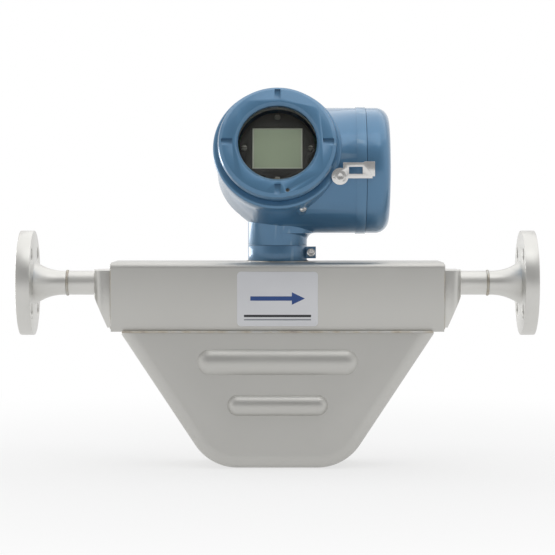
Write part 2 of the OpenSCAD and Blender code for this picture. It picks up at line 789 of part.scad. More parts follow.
// Screwed ring that holds the window
module display_cover()
    color(paint) at_pod() difference() {
        rotate_extrude($fn = 128) difference() {
            union() {
                polygon([
                    [0, pod_l + cover_gap], [cover_d / 2 - 2, pod_l + cover_gap],
                    [cover_d / 2, cover_front - 6], [cover_d / 2 - 1.2, cover_front - 2.5],
                    [cover_d / 2 - 4.5, cover_front], [0, cover_front]]);
                translate([0, pod_l + cover_gap - cover_spigot_l])
                    square([cover_spigot_d / 2, cover_spigot_l]);
            }
            polygon([
                [0, 0], [opening_d / 2 + 4.5, 0], [opening_d / 2 + 4.5, seat_t + window_t],
                [opening_d / 2, seat_t + window_t], [opening_d / 2, cover_front - 3],
                [opening_d / 2 + 3, cover_front], [opening_d / 2 + 3, cover_front + cut],
                [0, cover_front + cut]]);
            translate([cover_spigot_d / 2 - seal_wire + 0.2, pod_l - seal_wire - 1.3])
                square([seal_wire, seal_wire + 0.6]);
        }
        wrench_slots(cover_front, opening_d / 2 + 6, cover_d / 2 - 3.5, 3);
        translate([lock_screw_at.x, lock_screw_at.y, pod_l])
            cylinder(d = lock_screw_d + 2 * seat_gap, h = cover_t + 2);
    }

// O-ring under the display cover
module display_cover_seal()
    color(rubber) at_pod() translate([0, 0, pod_l - seal_wire / 2 - 1])
        rotate_extrude($fn = 96) translate([cover_spigot_d / 2 - seal_wire / 2 + 0.5 + 0.05, 0])
            circle(d = seal_wire - 0.1, $fn = 24);

// Round glass, seated from behind against the cover's lip
module display_window()
    color([0.75, 0.85, 0.88, 0.35]) at_pod() translate([0, 0, seat_t + seat_gap])
        cylinder(d = opening_d + 9 - 2 * seat_gap, h = window_t - seat_gap, $fn = 96);

// Ring that holds the window from behind
module window_retainer()
    color(cast_steel) at_pod()
        ring(opening_d + 9 - 2 * seat_gap, opening_d + 1, pod_l + cover_gap, seat_t);

// Set screw in the cover's face
module display_lock_screw()
    color(machined) at_pod() translate([lock_screw_at.x, lock_screw_at.y, pod_l + cover_gap])
        difference() {
            cylinder(d = lock_screw_d, h = cover_t - 1);
            translate([0, 0, cover_t - 3.5]) cylinder(d = lock_screw_d / 2, h = 4, $fn = 6);
        }

// Places along the display axis, round the axis
module at_posts() for (a = [0 : 90 : 270]) rotate(a) translate([post_r, 0, 0]) children();

// Hood of the display module, with a window for the panel
module display_bezel()
    color(black_plastic) at_pod() difference() {
        translate([0, 0, module_back]) cylinder(d = module_d, h = module_depth);
        translate([0, 0, module_back - cut]) linear_extrude(module_depth + 2 * cut)
            square([lcd_l, lcd_h], center = true);
        translate([0, 0, module_back - cut]) linear_extrude(module_depth - 2 + cut)
            square([lcd_l + 3, lcd_h + 3], center = true);
        at_posts() translate([0, 0, module_back - cut])
            cylinder(d = post_hole_d, h = module_depth + 2 * cut);
        at_posts() translate([0, 0, module_front - 1.5]) cylinder(d = 6.4, h = 2);
    }

// Glass panel behind the hood's window
module lcd_panel()
    color([0.44, 0.48, 0.44]) at_pod() translate([0, 0, module_front - 6])
        linear_extrude(4 - seat_gap)
            square([lcd_l + 3 - 2 * seat_gap, lcd_h + 3 - 2 * seat_gap], center = true);

// Board disc with a hole for each post, its top face at z
module board_disc(d, z)
    difference() {
        translate([0, 0, z - board_t]) cylinder(d = d, h = board_t);
        at_posts() translate([0, 0, z - board_t - cut])
            cylinder(d = post_hole_d, h = board_t + 2 * cut);
    }

module display_board()
    color(circuit_green) at_pod() {
        board_disc(module_d, module_back);
        translate([-18, -12, module_back]) cube([36, 24, module_depth - 6]);
    }

module main_board()
    color(circuit_green) at_pod() {
        board_disc(pod_bore - 4, main_board_z);
        translate([-16, -14, main_board_z]) cube([22, 22, 2]);
        translate([14, 8, main_board_z]) cube([10, 14, 3]);
        translate([-26, 12, main_board_z]) cube([14, 8, 3.5]);
    }

module power_board()
    color(circuit_green) at_pod() {
        board_disc(pod_bore - 6, power_board_z);
        translate([-14, 10, power_board_z]) cylinder(d = 8, h = 3);
        translate([12, -18, power_board_z]) cube([12, 14, 2.5]);
    }

// Hex post from the height low_z to the board whose top face is at high_z
module hex_post(low_z, high_z)
    translate([0, 0, low_z]) cylinder(d = post_d, h = high_z - board_t - low_z, $fn = 6);

// Hex posts that stack the boards and the display module
module board_posts()
    color(machined) at_pod() at_posts() {
        hex_post(pod_floor, main_board_z);
        hex_post(main_board_z, power_board_z);
        hex_post(power_board_z, module_back);
    }

// Four screws through the display module
module display_screws()
    color(machined) at_pod() at_posts() difference() {
        union() {
            translate([0, 0, module_back - board_t]) cylinder(d = 3, h = module_depth + board_t - 1.5);
            translate([0, 0, module_front - 1.5]) cylinder(d = 5.8, h = 1.9);
        }
        translate([-3, -0.5, module_front - 0.5]) cube([6, 1, 2]);
    }

// Screwed cap of the terminal compartment
module terminal_cover()
    color(paint) at_barrel() difference() {
        front = barrel_l + cap_l;
        back = barrel_l + cover_gap;
        union() {
            rotate_extrude($fn = 128) {
                translate([0, back]) square([barrel_d / 2, front - cap_edge_r - back]);
                square([barrel_d / 2 - cap_edge_r, front]);
                translate([barrel_d / 2 - cap_edge_r, front - cap_edge_r])
                    intersection() { circle(cap_edge_r); square(cap_edge_r); }
            }
        }
        translate([0, 0, -cut]) cylinder(d = 2 * barrel_d, h = back - cover_spigot_l + cut);
        ring(2 * barrel_d, terminal_mouth, back - cover_spigot_l - cut, back);
        ring(terminal_mouth + 4, terminal_mouth - 2 * seal_wire + 0.4, barrel_l - seal_wire - 1.3,
            barrel_l - 0.7);
        translate([0, 0, back - cover_spigot_l - cut])
            cylinder(d = terminal_mouth - 10, h = cover_spigot_l + cap_l - 6);
        wrench_slots(front, barrel_d / 2 - cap_edge_r - 14, barrel_d / 2 - cap_edge_r - 2, 3);
    }

// O-ring under the terminal cover
module terminal_cover_seal()
    color(rubber) at_barrel() translate([0, 0, barrel_l - seal_wire / 2 - 1])
        rotate_extrude($fn = 96) translate([terminal_mouth / 2 - seal_wire / 2 + 0.55, 0])
            circle(d = seal_wire - 0.1, $fn = 24);

// Places of the terminals, two rows across the block
module at_terminals()
    for (i = [0 : terminal_count - 1], side = [-1, 1])
        translate([
            side * terminal_row, (i - (terminal_count - 1) / 2) * terminal_step,
            terminal_x + block_t])
            children();

// Moulded terminal block on the floor of the compartment
module terminal_block()
    color(black_plastic) at_barrel() difference() {
        union() {
            translate([0, 0, terminal_x]) cylinder(d = terminal_bore - 8, h = block_t);
            translate([-block_w / 2, -terminal_count * terminal_step / 2, terminal_x])
                cube([block_w, terminal_count * terminal_step, block_t + block_rise]);
            translate([-wire_way_z, -wire_way_y, terminal_x - 7])
                cylinder(d = wire_way_d - 2 * seat_gap, h = 8);
        }
        at_terminals() cylinder(d = 5.2, h = block_rise + cut);
    }

// Clamping screws in the terminal block
module terminal_screws()
    color(machined) at_barrel() at_terminals() difference() {
        cylinder(d = 5, h = block_rise - 1);
        translate([-3, -0.5, block_rise - 2.2]) cube([6, 1, 2]);
    }

// Clamp strap that stands in front of the terminal cover's rim
module cover_clamp()
    color(machined) at_mid() difference() {
        pad_x = barrel_l + 2;
        union() {
            translate([clamp_eye_x, 0, clamp_eye_z]) rod_y(clamp_eye_d, -clamp_y - clamp_t, -clamp_y);
            translate([clamp_eye_x + 3, -clamp_y - clamp_t, clamp_eye_z - 2])
                cube([pad_x - clamp_eye_x, clamp_t, 16]);
            translate([pad_x - 5.5, -clamp_y - clamp_t, clamp_eye_z])
                cube([11, clamp_y + clamp_t - barrel_d / 2 - 2, 15]);
        }
        translate([clamp_eye_x, 0, clamp_eye_z]) rod_y(clamp_screw_d + 1.5, -clamp_y - clamp_t - cut, 0);
        translate([clamp_eye_x + 9, -clamp_y - clamp_t - cut, clamp_eye_z + 2.5])
            cube([pad_x - clamp_eye_x - 16, clamp_t + 2 * cut, 7]);
    }

module cover_clamp_screw()
    color(machined) at_mid() translate([clamp_eye_x, 0, clamp_eye_z]) difference() {
        head_y = -clamp_y - clamp_t;
        union() {
            rod_y(clamp_screw_d + 1, head_y - cut, -clamp_y + 10);
            rod_y(2 * clamp_screw_d, head_y - clamp_screw_d, head_y);
        }
        translate([0, head_y - clamp_screw_d - cut, 0]) rotate([-90, 0, 0])
            cylinder(d = 1.1 * clamp_screw_d, h = 4, $fn = 6);
    }

// Blanking plug of the lower conduit entry
module conduit_plug()
    color(machined) at_mid()
        translate([conduit_x, 0, head_z - conduit_gap / 2]) difference() {
            union() {
                rod_y(conduit_d - 2 * seat_gap, conduit_y - plug_l, conduit_y + cut);
                rod_y(conduit_d + 5, conduit_y, conduit_y + plug_head_l);
            }
            translate([0, conduit_y - 6, 0]) rotate([-90, 0, 0])
                cylinder(d = plug_key_d, h = plug_head_l + 8, $fn = 6);
        }

inlet_flange();
outlet_flange();
inlet_manifold();
outlet_manifold();
housing_box();
inlet_end_plate();
outlet_end_plate();
case_front_shell();
case_back_shell();
name_plate();
flow_tube_front();
flow_tube_back();
inlet_inner_brace();
inlet_outer_brace();
outlet_inner_brace();
outlet_outer_brace();
drive_coil();
drive_coil_bracket();
drive_magnet();
drive_magnet_bracket();
inlet_pickoff_coil();
inlet_coil_bracket();
inlet_pickoff_magnet();
inlet_magnet_bracket();
outlet_pickoff_coil();
outlet_coil_bracket();
outlet_pickoff_magnet();
outlet_magnet_bracket();
temperature_sensor();
feedthrough();
neck_collar();
neck_clamp_screw();
neck_seal();
transmitter_housing();
display_cover();
display_cover_seal();
display_window();
window_retainer();
display_lock_screw();
display_bezel();
lcd_panel();
display_board();
display_screws();
main_board();
power_board();
board_posts();
terminal_cover();
terminal_cover_seal();
terminal_block();
terminal_screws();
cover_clamp();
cover_clamp_screw();
conduit_plug();
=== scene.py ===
# %% [markdown]
# # A coriolis flow meter, finished in Blender
#
# The meter is a stainless V-shaped sensor between two pipe flanges, with a painted cast-aluminium
# head on top. A CAD program has already made every part at its real size, so this lesson is about
# the last step: giving each part the edges, welds and surface that a workshop leaves on it.
# Lengths are in metres here, and `MM` lets us write them as a drawing does.

# %% The CAD frame
import json
import math

import bpy
from mathutils import Matrix, Vector


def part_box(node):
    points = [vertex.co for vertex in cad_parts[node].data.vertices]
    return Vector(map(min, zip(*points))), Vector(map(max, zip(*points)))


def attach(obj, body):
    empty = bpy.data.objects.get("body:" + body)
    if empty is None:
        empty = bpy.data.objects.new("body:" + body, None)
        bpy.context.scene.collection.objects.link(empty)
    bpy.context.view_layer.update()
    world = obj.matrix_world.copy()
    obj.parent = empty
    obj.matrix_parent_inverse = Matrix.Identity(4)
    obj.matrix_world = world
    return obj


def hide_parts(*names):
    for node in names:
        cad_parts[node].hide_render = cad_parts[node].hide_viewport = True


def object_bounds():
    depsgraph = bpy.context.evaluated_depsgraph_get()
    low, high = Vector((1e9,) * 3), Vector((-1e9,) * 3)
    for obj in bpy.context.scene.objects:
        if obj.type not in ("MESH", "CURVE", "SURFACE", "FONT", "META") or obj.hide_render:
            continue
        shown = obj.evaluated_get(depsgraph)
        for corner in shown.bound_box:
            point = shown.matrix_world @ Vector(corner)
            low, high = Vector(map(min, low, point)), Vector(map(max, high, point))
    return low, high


MM = 0.001
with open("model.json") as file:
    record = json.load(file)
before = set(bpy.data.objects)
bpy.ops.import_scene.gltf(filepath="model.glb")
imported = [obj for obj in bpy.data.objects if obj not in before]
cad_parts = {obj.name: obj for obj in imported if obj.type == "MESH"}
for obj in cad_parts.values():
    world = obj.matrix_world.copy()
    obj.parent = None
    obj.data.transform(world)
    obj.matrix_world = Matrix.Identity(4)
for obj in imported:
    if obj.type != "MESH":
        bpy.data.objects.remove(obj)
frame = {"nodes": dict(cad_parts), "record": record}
nodes = frame["nodes"]
cad_low, cad_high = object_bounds()
middle_x = (cad_low[0] + cad_high[0]) / 2
cad_size = [round((high - low) / MM, 1) for low, high in zip(cad_low, cad_high)]
print(f"{len(nodes)} CAD parts in a box of {cad_size} mm")

# %% [markdown]
# ## The camera
#
# A catalogue picture is taken from far away with a long lens, so that the two flanges show nearly
# the same. Two and a quarter metres is far enough. The lens follows from the sensor's width, the
# distance and how much of the picture the meter should fill.

# %% Camera
CAMERA_DISTANCE = 2.25
CAMERA_HEIGHT = 80 * MM
FILL = 0.93

camera_data = bpy.data.cameras.new("camera")
camera = bpy.data.objects.new("camera", camera_data)
bpy.context.collection.objects.link(camera)
bpy.context.scene.camera = camera
target = Vector((middle_x, 0, (cad_low[2] + cad_high[2]) / 2))
camera.location = Vector((middle_x, -CAMERA_DISTANCE, CAMERA_HEIGHT))
camera.rotation_euler = (target - camera.location).to_track_quat("-Z", "Y").to_euler()
camera_data.sensor_width = 36
camera_data.lens = camera_data.sensor_width * CAMERA_DISTANCE * FILL / (cad_high[0] - cad_low[0])
print(f"lens of {camera_data.lens:.0f} mm at {CAMERA_DISTANCE} m")

# %% [markdown]
# ## Writing shader maths as sums
#
# A node tree is quick to draw and slow to type. This small class wraps one output of a node and
# gives it plus, minus, times and power, so that a pattern reads like a formula. Each sign adds a
# Math node. The reflected forms let a number stand first, as in `1 - mask`.

# %% A socket that can be added and multiplied
class Signal:
    """One output of a node. Arithmetic on it adds Math nodes to the same tree."""

    def __init__(self, tree, socket):
        self.tree = tree
        self.socket = socket

    def maths(self, operation, first, second):
        """Adds a Math node that takes two signals or numbers."""
        return self.tree.node("Math", {"operation": operation}, {0: first, 1: second})

    def __add__(self, other):
        return self.maths("ADD", self, other)

    def __radd__(self, other):
        return self.maths("ADD", other, self)

    def __sub__(self, other):
        return self.maths("SUBTRACT", self, other)

    def __rsub__(self, other):
        return self.maths("SUBTRACT", other, self)

    def __mul__(self, other):
        return self.maths("MULTIPLY", self, other)

    def __rmul__(self, other):
        return self.maths("MULTIPLY", other, self)

    def __pow__(self, other):
        return self.maths("POWER", self, other)


# %% [markdown]
# ## Trees of nodes
#
# Materials and the world are both trees of nodes. `Tree` adds any node to one of them with a single
# method: the node's settings are set first, then the values or links of its sockets. `ease` is a
# node that turns a rising value into a soft switch, which the light and several finishes need.

# %% The tree class
class Tree:
    """The nodes of a material or of the world."""

    def __init__(self, nodes_and_links):
        self.tree = nodes_and_links

    def feed(self, socket, value):
        """Links a signal to a socket, or sets the socket to a plain value."""
        if isinstance(value, Signal):
            self.tree.links.new(value.socket, socket)
        else:
            socket.default_value = value

    def node(self, kind, settings=None, inputs=None, output=0):
        """Adds a node, and gives one of its outputs."""
        node = self.tree.nodes.new("ShaderNode" + kind)
        for name, value in (settings or {}).items():
            if name == "stops":
                while len(node.color_ramp.elements) < len(value):
                    node.color_ramp.elements.new(0.5)
                for element, (position, shade) in zip(node.color_ramp.elements, value):
                    element.position = position
                    element.color = shade
            else:
                setattr(node, name, value)
        for key, value in (inputs or {}).items():
            self.feed(node.inputs[key], value)
        return Signal(self, node.outputs[output])

    def ease(self, value, low, high):
        """0 below low, 1 above high and a smooth step between."""
        sockets = {"Value": value, "From Min": low, "From Max": high}
        return self.node("MapRange", {"interpolation_type": "SMOOTHSTEP"}, sockets)


# %% [markdown]
# ## A finish
#
# Every surface below is one Principled shader, and `Finish` is the tree of its material. What
# stays the same all over a surface is given by name when the finish is made. Patterns read Object
# coordinates, which are the meter's own metres, so a grain has the same size on every part.

# %% The finish class
def colour(red, green, blue):
    """Turns a colour as a screen shows it, 0 to 255, into the linear values that shaders take."""
    levels = [value / 255 for value in (red, green, blue)]
    return tuple(v / 12.92 if v <= 0.04045 else ((v + 0.055) / 1.055) ** 2.4 for v in levels) + (1.0,)


class Finish(Tree):
    """A material with one Principled shader, and the patterns that it can carry."""

    def __init__(self, name, **constants):
        self.material = bpy.data.materials.new(name)
        self.material.use_nodes = True
        super().__init__(self.material.node_tree)
        self.shader = self.tree.nodes["Principled BSDF"]
        for socket, value in constants.items():
            self.shader.inputs[socket.replace("_", " ")].default_value = value
        self.place = self.node("TexCoord", output="Object")

    def noise(self, size, detail=2.0, stretch=(1, 1, 1)):
        """Cloudy pattern from 0 to 1 whose blotches are about size metres across."""
        place = self.node("Mapping", inputs={"Vector": self.place, "Scale": stretch})
        sockets = {"Vector": place, "Scale": 1 / size, "Detail": detail}
        return self.node("TexNoise", inputs=sockets, output="Fac")

    def blend(self, factor, first, second):
        """Colour that goes from first to second as factor goes from 0 to 1."""
        sockets = {"Factor": factor, 6: first, 7: second}
        return self.node("Mix", {"data_type": "RGBA"}, sockets, output=2)

    def bump(self, height, depth, strength, below=None):
        """Relief of depth metres where height goes from 0 to 1, on top of another relief."""
        sockets = {"Height": height, "Distance": depth, "Strength": strength}
        if below:
            sockets["Normal"] = below
        return self.node("Bump", inputs=sockets)

    def drive(self, **signals):
        """Links signals to the shader's sockets: Base_Color, Roughness, Normal and so on."""
        for socket, signal in signals.items():
            self.feed(self.shader.inputs[socket.replace("_", " ")], signal)
        return self.material


# %% [markdown]
# ## Light and floor
#
# The light is plain: a pale world, one large lamp above, a smaller one above the front and a low
# one behind at the left. The world shows as pure white to the camera, which is what a light tent
# does, while the light that it gives stays mild.
#
# What gives satin steel its form are the shades that it mirrors. A real tent has an opening where
# the camera stands, and metal that faces it reflects less light. Its ceiling is darker round the
# lamp, so that steel which faces up keeps its tone. So what the meter mirrors of the world is
# dimmer towards -Y and +Z.

# %% World
WORLD_LIGHT = 0.48
OPENING_LIGHT = 0.3
OPENING_EDGE = (0.25, 0.95)
CEILING_LIGHT = 0.5
CEILING_EDGE = (0.3, 0.9)

world = bpy.data.worlds.new("tent")
bpy.context.scene.world = world
world.use_nodes = True
tent = Tree(world.node_tree)
direction = tent.node("TexCoord", output="Generated")


def shaded_side(towards, edge, light):
    """A factor that falls from 1 to light as a ray turns towards one side of the tent."""
    facing = tent.node(
        "VectorMath", {"operation": "DOT_PRODUCT"}, {0: direction, 1: towards}, output="Value")
    return 1 - tent.ease(facing, *edge) * (1 - light)


opening = shaded_side((0, -1, 0), OPENING_EDGE, OPENING_LIGHT)
ceiling = shaded_side((0, 0, 1), CEILING_EDGE, CEILING_LIGHT)
camera_ray = tent.node("LightPath", output="Is Camera Ray")
mirror_ray = tent.node("LightPath", output="Is Glossy Ray")
glass_ray = tent.node("LightPath", output="Is Transmission Ray")
seen = tent.node("Math", {"operation": "MAXIMUM"}, {0: camera_ray, 1: mirror_ray})
seen = tent.node("Math", {"operation": "MAXIMUM"}, {0: seen, 1: glass_ray})
shown = tent.node("MapRange", inputs={"Value": camera_ray, "To Min": opening * ceiling, "To Max": 1.0})
level = tent.node("MapRange", inputs={"Value": seen, "To Min": WORLD_LIGHT, "To Max": shown})
backdrop = world.node_tree.nodes["Background"]
backdrop.inputs["Color"].default_value = (1, 1, 1, 1)
tent.feed(backdrop.inputs["Strength"], level)
bpy.context.scene.view_settings.view_transform = "Standard"
print("world light", WORLD_LIGHT, "with an opening of", OPENING_LIGHT, "and a ceiling of", CEILING_LIGHT)

# %% [markdown]
# A soft box is an area lamp. The larger it is, the softer its shadow and the dimmer its mirror
# image, which matters on steel: a small strong lamp would burn out to white on every rim that
# mirrors it. So the lamp above is wide, and the other two only lift the front and the left edge.

# %% Lamps
LAMPS = {
    "lamp_above": {"place": (0.1, 0.15, 1.25), "width": 2.6, "height": 2.2, "power": 16},
    "lamp_left": {"place": (-1.1, 0.9, 0.0), "width": 0.8, "height": 0.3, "power": 4},
    "lamp_front": {"place": (0.1, -0.85, 1.45), "width": 1.4, "height": 0.7, "power": 2},
}


def lamp(name, place, width, height, power):
    """A soft box at a place round the middle of the meter, turned to face it."""
    data = bpy.data.lights.new(name, "AREA")
    data.shape = "RECTANGLE"
    data.size = width
    data.size_y = height
    data.energy = power
    light = bpy.data.objects.new(name, data)
    light.location = target + Vector(place)
    light.rotation_euler = (-Vector(place)).to_track_quat("-Z", "Y").to_euler()
    bpy.context.collection.objects.link(light)


for name, settings in LAMPS.items():
    lamp(name, **settings)
print(len(LAMPS), "lamps")

# %% [markdown]
# The floor works as the tent does: it looks white, yet part of what shows is a real surface. It
# mixes two shaders. One is paper, which takes the meter's shadow, and the other glows plain white.
# Near the meter the paper has its full share, and further out it fades away, so the shadow ends
# softly and no horizon shows. Light that bounces on from the floor meets only paper.

# %% Floor
FLOOR_SIZE = 40
FLOOR_GAP = 0.2 * MM
SHADOW_SHARE = 0.35
SHADOW_EDGE = (0.25, 0.9)

bpy.ops.object.select_all(action="DESELECT")
bpy.ops.mesh.primitive_plane_add(size=FLOOR_SIZE, location=(middle_x, 0, cad_low[2] - FLOOR_GAP))
floor = bpy.context.object
floor.name = "floor"
paper = Finish("floor_paper", Roughness=0.9, Specular_IOR_Level=0.0, Base_Color=(0.86, 0.86, 0.86, 1))
glow = paper.node("Emission")
direct = paper.node("LightPath", output="Is Camera Ray")
direct = direct + paper.node("LightPath", output="Is Glossy Ray")
direct = direct + paper.node("LightPath", output="Is Transmission Ray")
from_meter = paper.node(
    "VectorMath", {"operation": "DISTANCE"}, {0: paper.place, 1: (0, 0, 0)}, output="Value")
far = paper.ease(from_meter, *SHADOW_EDGE)
share = direct * (far * SHADOW_SHARE + (1 - SHADOW_SHARE))
surface = Signal(paper, paper.shader.outputs[0])
mixed = paper.node("MixShader", inputs={0: share, 1: surface, 2: glow})
paper.feed(paper.tree.nodes["Material Output"].inputs["Surface"], mixed)
floor.data.materials.append(paper.material)
print("floor at", round(cad_low[2] / MM, 1), "mm")

# %% [markdown]
# ## Stainless steel
#
# The meter is nearly all stainless steel, and what tells its parts apart is how each was worked.
# Turned parts keep fine tool marks, castings are pebbly, and the sheet is blasted to an even satin.
# All of them start from the same grey metal. Slow clouds shift its colour and roughness a little,
# as handling does, and a fine pattern in the bump node stands for the tool marks.

# %% Satin sheet steel
DARKER = 0.9
LIGHTER = 1.08
CLOUD_COLOUR = 0.7
SMUDGE_COLOUR = 0.3
CLOUD_ROUGHNESS = 0.06
SMUDGE_ROUGHNESS = 0.12


def steel(name, tint, roughness, cloud=220 * MM):
    """Grey metal of a mean roughness, with slow clouds about cloud metres across and smaller smudges."""
    finish = Finish(name, Metallic=0.82)
    clouds = finish.noise(cloud, detail=4)
    smudges = finish.noise(cloud / 6, detail=5)
    dark = tuple(level * DARKER for level in tint[:3]) + (1.0,)
    light = tuple(min(1.0, level * LIGHTER) for level in tint[:3]) + (1.0,)
    smoothest = roughness - (SMUDGE_ROUGHNESS + CLOUD_ROUGHNESS) / 2
    finish.drive(
        Base_Color=finish.blend(clouds * CLOUD_COLOUR + smudges * SMUDGE_COLOUR, dark, light),
        Roughness=smudges * SMUDGE_ROUGHNESS + clouds * CLOUD_ROUGHNESS + smoothest,
    )
    return finish


satin_steel = steel("satin_steel", colour(200, 199, 195), 0.44)
grain = satin_steel.noise(0.9 * MM, detail=3)
streaks = satin_steel.noise(5 * MM, detail=2, stretch=(0.12, 6, 6))
relief = satin_steel.bump(grain, 0.03 * MM, 0.5)
satin_steel.drive(Normal=satin_steel.bump(streaks, 0.02 * MM, 0.35, below=relief))
print("satin steel")

# %% [markdown]
# A casting keeps the skin of its mould. A displaced mesh could show that, at a great cost in faces.
# Two layers of bump do the same job: pebbles of about two millimetres with a finer skin on top.

# %% Cast steel
cast_steel = steel("cast_steel", colour(217, 216, 212), 0.4, cloud=80 * MM)
pebbles = cast_steel.noise(2.2 * MM, detail=4)
skin = cast_steel.noise(0.6 * MM, detail=2)
relief = cast_steel.bump(pebbles, 0.16 * MM, 0.7)
cast_steel.drive(Normal=cast_steel.bump(skin, 0.04 * MM, 0.5, below=relief))
print("cast steel")

# %% [markdown]
# A lathe leaves rings on a face and hoops along a rim. Both are the same cut, seen on surfaces that
# face along the pipe and away from it. So the pattern is a sine of the distance from the pipe's
# axis where the surface faces along X, and a sine of X elsewhere.

# %% Turned steel
CUT_PITCH = 0.8 * MM
CUT_DEPTH = 0.012 * MM

turned_steel = steel("turned_steel", colour(215, 214, 210), 0.4, cloud=70 * MM)
split = {"Vector": turned_steel.place}
x = turned_steel.node("SeparateXYZ", inputs=split, output="X")
y = turned_steel.node("SeparateXYZ", inputs=split, output="Y")
z = turned_steel.node("SeparateXYZ", inputs=split, output="Z")
radius = (y * y + z * z) ** 0.5
normal = turned_steel.node("NewGeometry", output="Normal")
facing = turned_steel.node("SeparateXYZ", inputs={"Vector": normal}, output="X")
on_face = turned_steel.ease(facing * facing, 0.4, 0.6)
along = radius * on_face + x * (1 - on_face)
wander = turned_steel.noise(30 * MM) * 2
cuts = turned_steel.node("Math", {"operation": "SINE"}, {0: along * (2 * math.pi / CUT_PITCH) + wander})
turned_steel.drive(Normal=turned_steel.bump(cuts * 0.5 + 0.5, CUT_DEPTH, 0.8))
print("turned steel, one cut every", CUT_PITCH / MM, "mm")

# %% [markdown]
# Screws, the cover clamp and the plug are bought parts and smoother than the rest. The screws of the
# display and its cover are oxidised, so they are dark. A noise that is stretched along the meter
# and upwards is enough for the fine marks on such small pieces.

# %% Small hardware and the blanking plug
hardware_steel = steel("hardware_steel", colour(222, 221, 219), 0.22, cloud=30 * MM)
scratches = hardware_steel.noise(1.5 * MM, detail=3, stretch=(1, 4, 1))
hardware_steel.drive(Normal=hardware_steel.bump(scratches, 0.02 * MM, 0.5))

black_oxide = steel("black_oxide", colour(112, 110, 104), 0.4, cloud=20 * MM)
oxide_grain = black_oxide.noise(0.6 * MM, detail=3)
black_oxide.drive(Normal=black_oxide.bump(oxide_grain, 0.02 * MM, 0.5))

plug_steel = steel("plug_steel", colour(205, 204, 200), 0.3, cloud=30 * MM)
plug_marks = plug_steel.noise(0.8 * MM, detail=2, stretch=(1, 5, 1))
plug_steel.drive(Normal=plug_steel.bump(plug_marks, 0.015 * MM, 0.5))
print("hardware steel, dark screws and plug steel")

# %% [markdown]
# ## Blue paint
#
# The head is cast aluminium under polyurethane paint. Paint is a colour under a clear, glossy
# film, so the shader's coat does the mirror-like part and the base below stays soft. The casting's
# waviness shows through as slow bumps, and the paint adds its own fine orange peel. Sharp corners,
# which `Pointiness` finds, are painted a lighter blue: a painted highlight along the edges.

# %% Blue paint
blue_paint = Finish("blue_paint", Metallic=0.45, Coat_IOR=1.5, Coat_Roughness=0.1)
fade = blue_paint.noise(60 * MM, detail=3)
specks = blue_paint.noise(1.2 * MM, detail=2)
# Painted highlight: sharp corners get a lighter blue in the base colour.
corner = blue_paint.ease(blue_paint.node("NewGeometry", output="Pointiness"), 0.53, 0.6)
body_blue = blue_paint.blend(fade, colour(73, 118, 154), colour(84, 131, 166))
peel = blue_paint.noise(2.6 * MM, detail=2)
waves = blue_paint.noise(14 * MM, detail=2)
relief = blue_paint.bump(waves, 0.22 * MM, 0.5)
blue_paint.drive(
    Base_Color=blue_paint.blend(corner * 0.55, body_blue, colour(128, 158, 182)),
    Roughness=specks * 0.1 + 0.33,
    Coat_Weight=0.85 - specks * 0.15,
    Normal=blue_paint.bump(peel, 0.035 * MM, 0.6, below=relief),
)
print("blue paint")

# %% [markdown]
# ## The small materials
#
# The rest are plain finishes with a pattern or two each: a brushed plate, black rubber, moulded
# plastic, the grey-green glass of a switched-off display, boards, winding wire and magnets.

# %% Plate, rubber and plastic
plate_metal = Finish("plate_metal", Metallic=0.15)
brushed = plate_metal.noise(2 * MM, detail=3, stretch=(0.04, 8, 8))
tarnish = plate_metal.noise(50 * MM, detail=2)
plate_metal.drive(
    Base_Color=plate_metal.blend(tarnish, colour(216, 217, 221), colour(226, 227, 230)),
    Roughness=brushed * 0.15 + 0.3,
    Normal=plate_metal.bump(brushed, 0.01 * MM, 0.5),
)

rubber = Finish("rubber")
pores = rubber.noise(0.7 * MM, detail=3)
rubber.drive(
    Base_Color=rubber.blend(pores, colour(30, 30, 32), colour(48, 48, 50)),
    Roughness=pores * 0.2 + 0.6,
    Normal=rubber.bump(pores, 0.03 * MM, 0.5),
)

dark_plastic = Finish("dark_plastic")
mould = dark_plastic.noise(0.5 * MM, detail=3)
bloom = dark_plastic.noise(18 * MM, detail=3)
dark_plastic.drive(
    Base_Color=dark_plastic.blend(bloom, colour(30, 27, 22), colour(44, 41, 35)),
    Roughness=mould * 0.2 + 0.42,
    Normal=dark_plastic.bump(mould, 0.025 * MM, 0.6),
)

frame_plastic = Finish("frame_plastic")
matt = frame_plastic.noise(0.5 * MM, detail=3)
frame_plastic.drive(
    Base_Color=frame_plastic.blend(matt, colour(196, 200, 184), colour(214, 216, 202)),
    Roughness=matt * 0.2 + 0.4,
    Normal=frame_plastic.bump(matt, 0.02 * MM, 0.5),
)
print("plate, rubber and plastic")

# %% [markdown]
# A display that is off is a grey-green film under glass, so it gets a clear coat. The window in
# front of it is real glass. Its refraction is set low, since it is thin and must not bend the view
# of the display, and a few wiped patches roughen it.

# %% Display glass and window
panel_glass = Finish("panel_glass", Coat_Weight=0.6, Coat_Roughness=0.05)
panel_cloud = panel_glass.noise(22 * MM, detail=2)
panel_grain = panel_glass.noise(0.4 * MM, detail=1)
panel_glass.drive(
    Base_Color=panel_glass.blend(panel_cloud, colour(162, 175, 147), colour(174, 185, 157)),
    Roughness=panel_grain * 0.1 + 0.3,
)

window_glass = Finish("window_glass", Transmission_Weight=1.0, IOR=1.2)
window_glass.shader.inputs["Base Color"].default_value = (0.97, 0.99, 0.98, 1)
wipe = window_glass.noise(25 * MM, detail=4)
window_glass.drive(Roughness=window_glass.ease(wipe, 0.55, 0.8) * 0.04)
print("display glass and window")

# %% [markdown]
# A weld keeps the colours of its heat: straw near the bead, brown and a little blue where it ran
# hotter. Brushing takes most of it off, so the tint is weak and patchy. The ink on the name plate
# and the bare aluminium of the threads complete the list.

